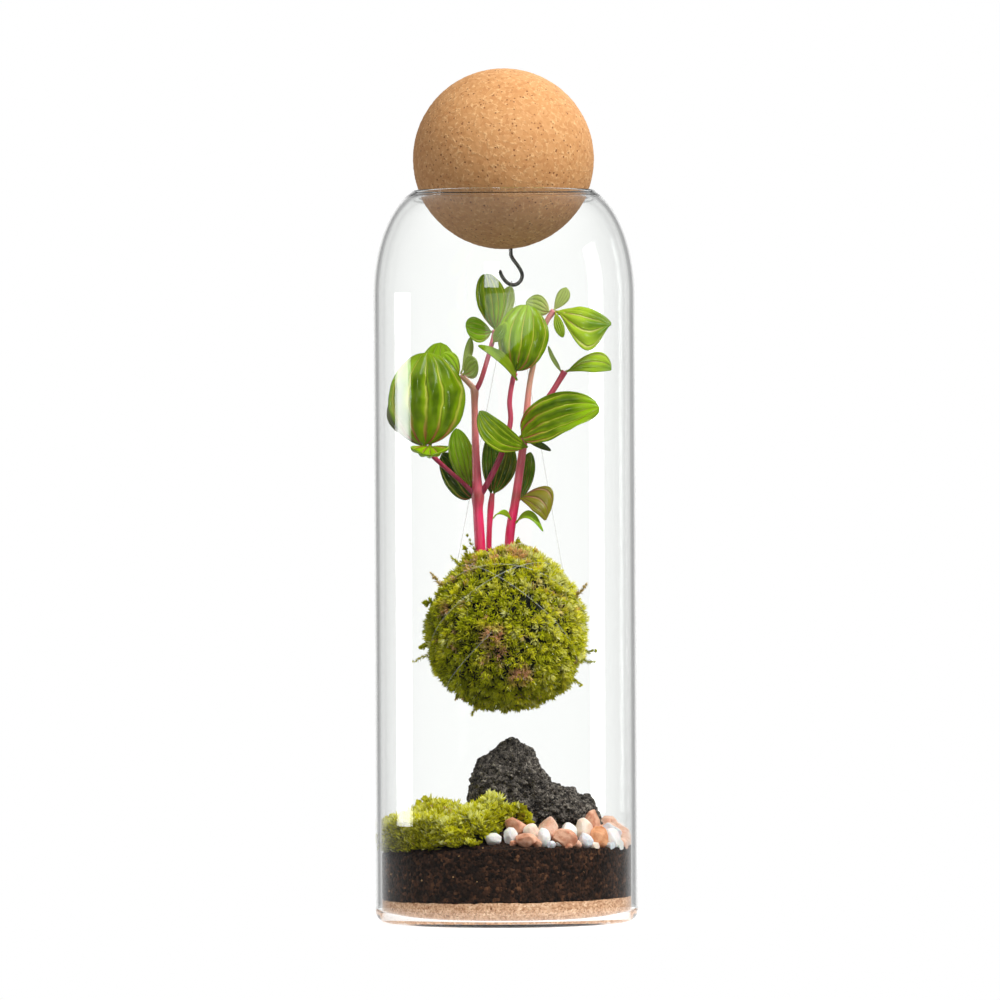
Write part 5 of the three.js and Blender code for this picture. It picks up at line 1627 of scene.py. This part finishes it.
@dataclass
class Cushions(MossBed):
    """The mound of living moss on the left of the soil."""

    slot: str = "cushion_moss"
    node: str = "ground_moss"
    finish: MossShoot = MossShoot(
        "cushion_moss_shoots", ("C0BC10", "E2E01C", "FAF83C", "FFFFB0"), "D8BC80",
    )
    leaflet: float = 3.2
    leaflet_width: float = 0.74
    leaflets: int = 8
    form: GroundForm = GroundForm()
    spacing: float = 1.3
    wall_reach: float = 45.9
    wall_tries: int = 5000
    wall_count: int = 1500
    mounds: tuple[tuple[float, float, float, float], ...] = (
        (-33, -19, 13.5, 10.4), (-22.5, -28.5, 13.5, 11), (-13, -32, 10.5, 11.6),
        (-38, 0, 11.5, 9.8), (-30, 12, 12, 9.4), (-6, -27, 7.5, 12.6), (2.8, -28.6, 5.6, 8.6),
        (-26, -6, 13, 10.6),
    )

    def bodies(self) -> list[tuple[Array, Array]]:
        """The middle and the half axes of each mound."""
        return [
            (np.array([x, y, float(self.form.soil(x, y)) - 1]), np.array([wide, wide, high - 0.6]))
            for x, y, wide, high in self.mounds
        ]

    def inside(self, points: Array, shrink: float) -> Array:
        """Whether each point lies in a mound.

        Args:
            points: the points.
            shrink: the share of each mound's size that counts.

        Returns:
            True for each point inside.
        """
        return np.any([
            (((points - middle) / (radii * shrink)) ** 2).sum(1) < 1
            for middle, radii in self.bodies()
        ], 0)

    def build(self) -> None:
        """Makes the dark core, matted moss and painted shade for the gaps, then the shoots on it
        and against the glass.
        """
        core = remeshed("ground_moss", "cushion_core", 0.8)
        modify(core, "SMOOTH", factor=0.5, iterations=8)
        displace(core, 0.5 * swirl(points_of(core), 3.0, 3, 4.0) - 1.8)
        points = points_of(core)
        points[:, 1] += 4 * smoothstep(-points[:, 1], 31, 38) * smoothstep(points[:, 0], -14, -9)
        set_points(core, points)
        # Dark tones: partly the matted moss's own colour, partly painted shade in the gaps between
        # shoots.
        matted = Crumbs("matted_cushion_and_shade", 1.1, ("161C06", "2C380C", "475812", "66761C"),
                        "7A6A2C", 2.0)
        self.deliver(core, [matted], self.slot, self.node)
        self.shoots()

    def places(self, rng: np.random.Generator) -> tuple[Array, Array]:
        """Where shoots could stand, over the mounds and along the wall.

        Args:
            rng: the source of random numbers.

        Returns:
            Their roots and the ways out of the moss there.
        """
        roots, ways = [], []
        for (middle, radii), (_, _, wide, high) in zip(self.bodies(), self.mounds):
            count = int(2 * math.pi * wide * (wide + high) / 2 / self.spacing ** 2)
            way = spiral(count, 1.05)
            way = unit(way + rng.normal(0, 0.03, way.shape))
            free = ~self.inside(way * radii + middle, 0.9)
            sunk = way * (radii - 2.4 + rng.normal(0, 0.5, (count, 1))) + middle
            roots.append(sunk[free])
            ways.append(way[free])
        low, high = (-math.pi * 1.13, 25), (-math.pi * 0.36, 46)
        turn, height = rng.uniform(low, high, (self.wall_tries, 2)).T
        rim = self.wall_reach - rng.random(len(turn)) * 0.9
        wall = np.stack([rim * np.cos(turn), rim * np.sin(turn), height], 1)
        held = self.inside(wall, 0.93) | ((height < 31) & (turn < -math.pi * 0.55))
        wall = wall[held][:self.wall_count]
        roots.append(wall)
        ways.append(wall * (0.012, 0.012, 0) + (0, 0, 1.0))
        return np.concatenate(roots), np.concatenate(ways)

    def clear(self, roots: Array) -> Array:
        """Whether a shoot at each root hides neither the wall, the soil, the rock nor a pebble.

        Args:
            roots: where the shoots would stand.

        Returns:
            True for each that may stay.
        """
        x, y, z = roots.T
        reach = level_reach(roots)
        rock = (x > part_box("lava_rock")[0].x / MM + 2) & (y > -8.5) & (x > -13)
        good = (reach < 46.2) & ((z > self.form.soil(x, y) - 1.5) | (reach > 44.5)) & ~rock
        good &= z > self.form.fringe(roots)
        for pebble in ("pebble_white_flat", "pebble_white_moss", "pebble_terracotta_behind"):
            low, high = (np.array(corner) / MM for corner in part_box(pebble))
            good &= ~((x > low[0] - 1) & (x < high[0] + 1) & (y < high[1]))
        return good

    def shoots(self) -> None:
        """Plants the shoots, which lean away from the glass, with darker tones painted where they
        stand low over the soil for shade.
        """
        rng = np.random.default_rng(44)
        roots, ways = self.places(rng)
        good = self.clear(roots)
        roots, ways = roots[good], ways[good]
        reach, count = level_reach(roots), len(roots)
        grow = ways * 0.7 + (0, 0, 0.55) + rng.normal(0, 0.34, roots.shape)
        outward = (grow[:, :2] * roots[:, :2]).sum(1) / reach - 0.05
        tight = (reach > 44) & (outward > 0)
        grow[tight, :2] -= roots[tight, :2] / 46 * outward[tight, None]
        clump = swirl(roots, 6.0, 2, 7.0)
        sizes = 0.9 + 0.25 * clump + rng.uniform(-0.2, 0.25, count)
        sizes += 0.5 * (rng.random(count) > 0.9) * (roots[:, 2] > 38)
        # Painted shade: shoots that stand low over the soil get darker tones, for the shade at the
        # foot of the mounds.
        height = smoothstep(roots[:, 2] - self.form.soil(roots[:, 0], roots[:, 1]), -1, 9)
        tones = np.clip(0.3 + 0.45 * height + 0.2 * clump + rng.normal(0, 0.26, count), 0, 1)
        dead = (rng.random(count) > 0.985) * 0.7
        self.plant("cushion_shoots", roots, grow, sizes, tones, dead, 5)


@dataclass
class Pebbles(Assembly):
    """The pebbles on the right of the soil."""

    form: GroundForm = GroundForm()
    facets: int = 13
    rear_count: int = 34

    def stone(self, name: str, middle: Array, half: Array, seed: int, sharp: float,
              fineness: int = 4) -> Object:
        """One stone: a ball that is ground flat on many sides and finely worn.

        Args:
            name: its name.
            middle: where it lies, in millimetres.
            half: half of its size along each axis, of which it grows a fifth larger.
            seed: seeds its facets.
            sharp: how flat its facets are, from 0 to 1.
            fineness: how finely it is divided.

        Returns:
            The stone, in place.
        """
        rng = np.random.default_rng(seed)
        piece = primitive(name, bpy.ops.mesh.primitive_ico_sphere_add, subdivisions=fineness,
                          radius=1)
        points = points_of(piece)
        for way in unit(rng.normal(0, 1, (self.facets, 3))):
            level = rng.uniform(0.82 - 0.3 * sharp, 0.9 - 0.12 * sharp)
            beyond = np.clip(points @ way - level, 0, None)
            points -= beyond[:, None] * way * (0.55 + 0.44 * sharp)
        points *= (1 + 0.05 * swirl(points, 0.8, 3, seed))[:, None]
        points = points / np.abs(points).max(0) * half * 1.2 + middle
        keep_within(points, self.form.radius)
        set_points(piece, points)
        return piece

    def build(self) -> None:
        """Makes the stones of the frame, then the small ones between them and the rear ones."""
        for order, (name, (finish, sharp)) in enumerate(PEBBLE_KINDS.items()):
            low, high = (np.array(corner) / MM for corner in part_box(f"pebble_{name}"))
            low[2] -= 1.3
            piece = self.stone(f"pebble_{name}_stone", (low + high) / 2, (high - low) / 2,
                               order + 3, sharp, 5)
            self.deliver(piece, [finish], finish.slot, f"pebble_{name}")
        for order, (x, y, size, finish) in enumerate(SMALL_STONES):
            middle = np.array([x, y, float(self.form.soil(x, y)) + 0.18 * size])
            half = np.array([0.5, 0.42, 0.44]) * size
            piece = self.stone(f"small_stone_{order + 1}", middle, half, order + 50, 0.6)
            self.deliver(piece, [finish], finish.slot)
        self.rear_ones()

    def rear_ones(self) -> None:
        """The stones along the wall on the right and behind the rock."""
        rng = np.random.default_rng(91)
        finishes = (PEACH, TERRACOTTA, CREAM)
        stones = []
        for order in range(self.rear_count):
            angle = math.radians(-8 + 3.0 * order + rng.uniform(-1, 1))
            reach = (43.6, 41.4, 38.8)[order % 3] + rng.uniform(-0.4, 0.4)
            size = rng.uniform(4.6, 7.4)
            heap = 3.2 * math.exp(-((math.degrees(angle) - 6) / 14) ** 2)
            x, y = reach * math.cos(angle), reach * math.sin(angle)
            middle = np.array([x, y, float(self.form.soil(x, y)) + 0.2 * size + heap])
            middle[:2] *= min(1, (self.form.radius - size / 2) / reach)
            half = np.array([0.5, 0.5, 0.42]) * size
            stone = self.stone("stone", middle, half, order + 120, 0.8)
            set_kind(stone, int(rng.choice(3, p=(0.6, 0.28, 0.12))), len(finishes))
            stones.append(stone)
        self.deliver(joined("rear_stones", stones), finishes, "peach_pebble", "pebbles_rear")


# For each pebble of the frame: its stone and how sharp its facets are.
PEBBLE_KINDS = {
    "white_flat": (WHITE, 0.2), "white_moss": (WHITE, 0.2), "terracotta_front": (TERRACOTTA, 0.9),
    "white_upright": (WHITE, 0.3), "terracotta_wide": (TERRACOTTA, 0.9), "grey_white": (GREY, 0.5),
    "orange": (ORANGE, 0.8), "white_right": (WHITE, 0.5), "terracotta_behind": (TERRACOTTA, 0.8),
    "cream_small": (CREAM, 0.3),
    "terracotta_round": (replace(PEACH, slot="terracotta_pebble"), 0.6),
    "white_middle": (WHITE, 0.3), "cream_large": (CREAM, 0.4), "terracotta_tall": (TERRACOTTA, 0.9),
    "white_blue": (GREY, 0.5),
}

# Small stones between them: x, y, size and stone.
SMALL_STONES = (
    (11.2, -41.4, 4.0, TERRACOTTA), (16.4, -41.6, 3.2, GREY), (42.6, -16.2, 4.6, PEACH),
    (43.8, -9.4, 5.2, PEACH), (26.2, -36.0, 3.4, PEACH), (36.0, -24.6, 4.2, TERRACOTTA),
    (33.4, -12.6, 5.4, PEACH), (35.2, -6.4, 5.6, TERRACOTTA), (40.6, -5.6, 5.4, PEACH),
    (2.6, -41.8, 2.6, TERRACOTTA), (19.8, -38.0, 3.6, WHITE), (22.8, -39.2, 3.0, TERRACOTTA),
    (32.2, -33.0, 3.8, CREAM), (38.6, -26.2, 3.4, GREY), (9.0, -37.0, 3.6, CREAM),
    (41.6, -20.6, 4.0, WHITE),
)


# ---------------------------------------------------------------- studio


@dataclass(frozen=True)
class WhiteFloor(Finish):
    """Matte white studio board."""

    name: str = "matte_white_board"

    def dress(self, add: Adder, shader: Node) -> Node:
        """Pale and even; only the shadow at the jar's foot shows on it."""
        return feed(shader, Base_Color="9A9A9A", Roughness=0.9, Emission_Color="FFFFFF",
                    Emission_Strength=0.85)


@dataclass
class Studio:
    """Camera, floor, white surround and soft lights."""

    distance: float = 3.3
    eye: float = 0.187
    aim: Point = (-0.0019, 0.0, 0.1605)
    lens: float = 312.0
    roll: float = math.radians(0.26)
    sky_share: float = 0.34
    floor_radius: float = 0.09
    ring: tuple[tuple[float, float], ...] = (
        (0.0, 0.03), (0.6, 0.18), (0.8, 0.5), (0.88, 0.5), (0.91, 0.1), (0.935, 0.5),
        (0.97, 0.84), (0.992, 1.0),
    )

    def camera(self) -> None:
        """A long lens, a little above the ground, as the photograph was taken."""
        data = bpy.data.cameras.new("camera")
        data.lens = self.lens
        data.sensor_width = 36
        data.clip_start, data.clip_end = 0.1, 50
        camera = linked("camera", data)
        camera.location = (self.aim[0], -self.distance, self.eye)
        look = Vector(self.aim) - camera.location
        turn = look.to_track_quat("-Z", "Y").to_matrix() @ Matrix.Rotation(-self.roll, 3, "Z")
        camera.rotation_euler = turn.to_euler()
        bpy.context.scene.camera = camera

    def floor(self) -> None:
        """A round white board under the jar, too small for the glass to mirror it."""
        board = primitive(
            "floor_board", bpy.ops.mesh.primitive_circle_add, vertices=96, fill_type="NGON",
            radius=self.floor_radius, location=(0, 0, -0.0002),
        )
        board.data.materials.append(WhiteFloor().material())

    def surround(self) -> None:
        """White to the camera; grey flags beside the backdrop draw the edges of the glass.

        Rays that cross more than three walls of the jar see white behind it, so that it looks
        as clear from the other sides.
        """
        world = bpy.data.worlds.new("surround")
        world.use_nodes = True
        bpy.context.scene.world = world
        add = partial(add_node, world.node_tree)
        _, y, z = add("SeparateXYZ", add("TexCoord").outputs["Generated"]).outputs
        ring = add("ValToRGB", y, stops=[(at, (grey, grey, grey, 1)) for at, grey in self.ring])
        back = add("Math", ring, 1.2, operation="MULTIPLY")
        steep = add("Math", z, operation="ABSOLUTE")
        top = add("MapRange", steep, 0.3, 0.95, 0.0, 0.4, interpolation_type="SMOOTHSTEP")
        sky = add("Math", back, top, operation="ADD")
        path = add("LightPath").outputs
        walls = add("Math", path["Transmission Depth"], 3.5, operation="GREATER_THAN")
        straight = add("Math", walls, path["Glossy Depth"], operation="SUBTRACT", use_clamp=True)
        aside = add("MapRange", y, 0.83, 0.86, 1.0, 0.0)
        through = add("Math", straight, aside, operation="MULTIPLY")
        clear = add("Mix", through, sky, 1.2)
        dim = add("Mix", path["Is Diffuse Ray"], clear, self.sky_share)
        seen = add("Mix", path["Is Camera Ray"], dim, 1.0)
        feed(world.node_tree.nodes["Background"], (1, 1, 1, 1), seen)

    def light(self, name: str, place: Point, target: Point, size: tuple[float, float],
              power: float) -> Object:
        """One soft rectangular light.

        Args:
            name: its name.
            place: where it stands.
            target: what it points at.
            size: its width and height.
            power: its power in watts.

        Returns:
            The light object.
        """
        data = bpy.data.lights.new(name, "AREA")
        data.shape = "RECTANGLE"
        data.size, data.size_y = size
        data.energy = power
        lamp = linked(name, data)
        lamp.location = place
        lamp.rotation_euler = (Vector(target) - Vector(place)).to_track_quat("-Z", "Y").to_euler()
        return lamp

    def spare(self, jar: Object) -> None:
        """Keeps the large boxes out of the jar, which mirrors only the strip of light.

        Args:
            jar: the jar.
        """
        held = bpy.data.collections.new("not_mirrored")
        held.objects.link(jar)
        held.collection_objects[0].light_linking.link_state = "EXCLUDE"
        for name in ("key_box", "fill_box", "rim_box"):
            bpy.data.objects[name].light_linking.receiver_collection = held

    def build(self) -> None:
        """Sets up everything."""
        self.camera()
        self.floor()
        self.surround()
        middle, upper = (0.0, 0.0, 0.16), (0.0, 0.0, 0.25)
        self.light("key_box", (0.85, -0.75, 1.45), middle, (0.8, 0.8), 33)
        self.light("fill_box", (-0.8, -0.6, 1.25), middle, (0.7, 0.7), 3.5)
        self.light("rim_box", (0.5, 0.9, 0.9), middle, (0.8, 0.6), 6)
        strip = self.light("strip_box", (-0.61, 0.1, 0.136), middle, (0.2, 0.25), 1.05)
        pane = self.light("pane_box", (-0.29, -1.5, 0.56), upper, (0.34, 0.4), 2.8)
        haze = self.light("haze_box", (0.11, -1.5, 0.27), upper, (1.14, 0.07), 0.25)
        haze.rotation_euler.rotate_axis("Z", math.radians(2))
        pane.visible_camera = haze.visible_camera = False
        strip.visible_diffuse = pane.visible_diffuse = haze.visible_diffuse = False
        bpy.context.scene.view_settings.view_transform = "Standard"
        bpy.context.scene.view_settings.look = "None"


def write_sizes() -> None:
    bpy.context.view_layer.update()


def main() -> None:
    """Builds the studio and every assembly in order."""
    logging.basicConfig(level=logging.INFO, format="%(message)s")
    studio = Studio()
    studio.build()
    Threads().build()
    for assembly in (Jar(), Closure(), MossBall(), Plant(), Ground(), Cushions(), Pebbles()):
        log.info("%s", type(assembly).__name__)
        assembly.build()
    studio.spare(bpy.data.objects["blown_jar"])
    write_sizes()


if __name__ == "__main__":
    main()
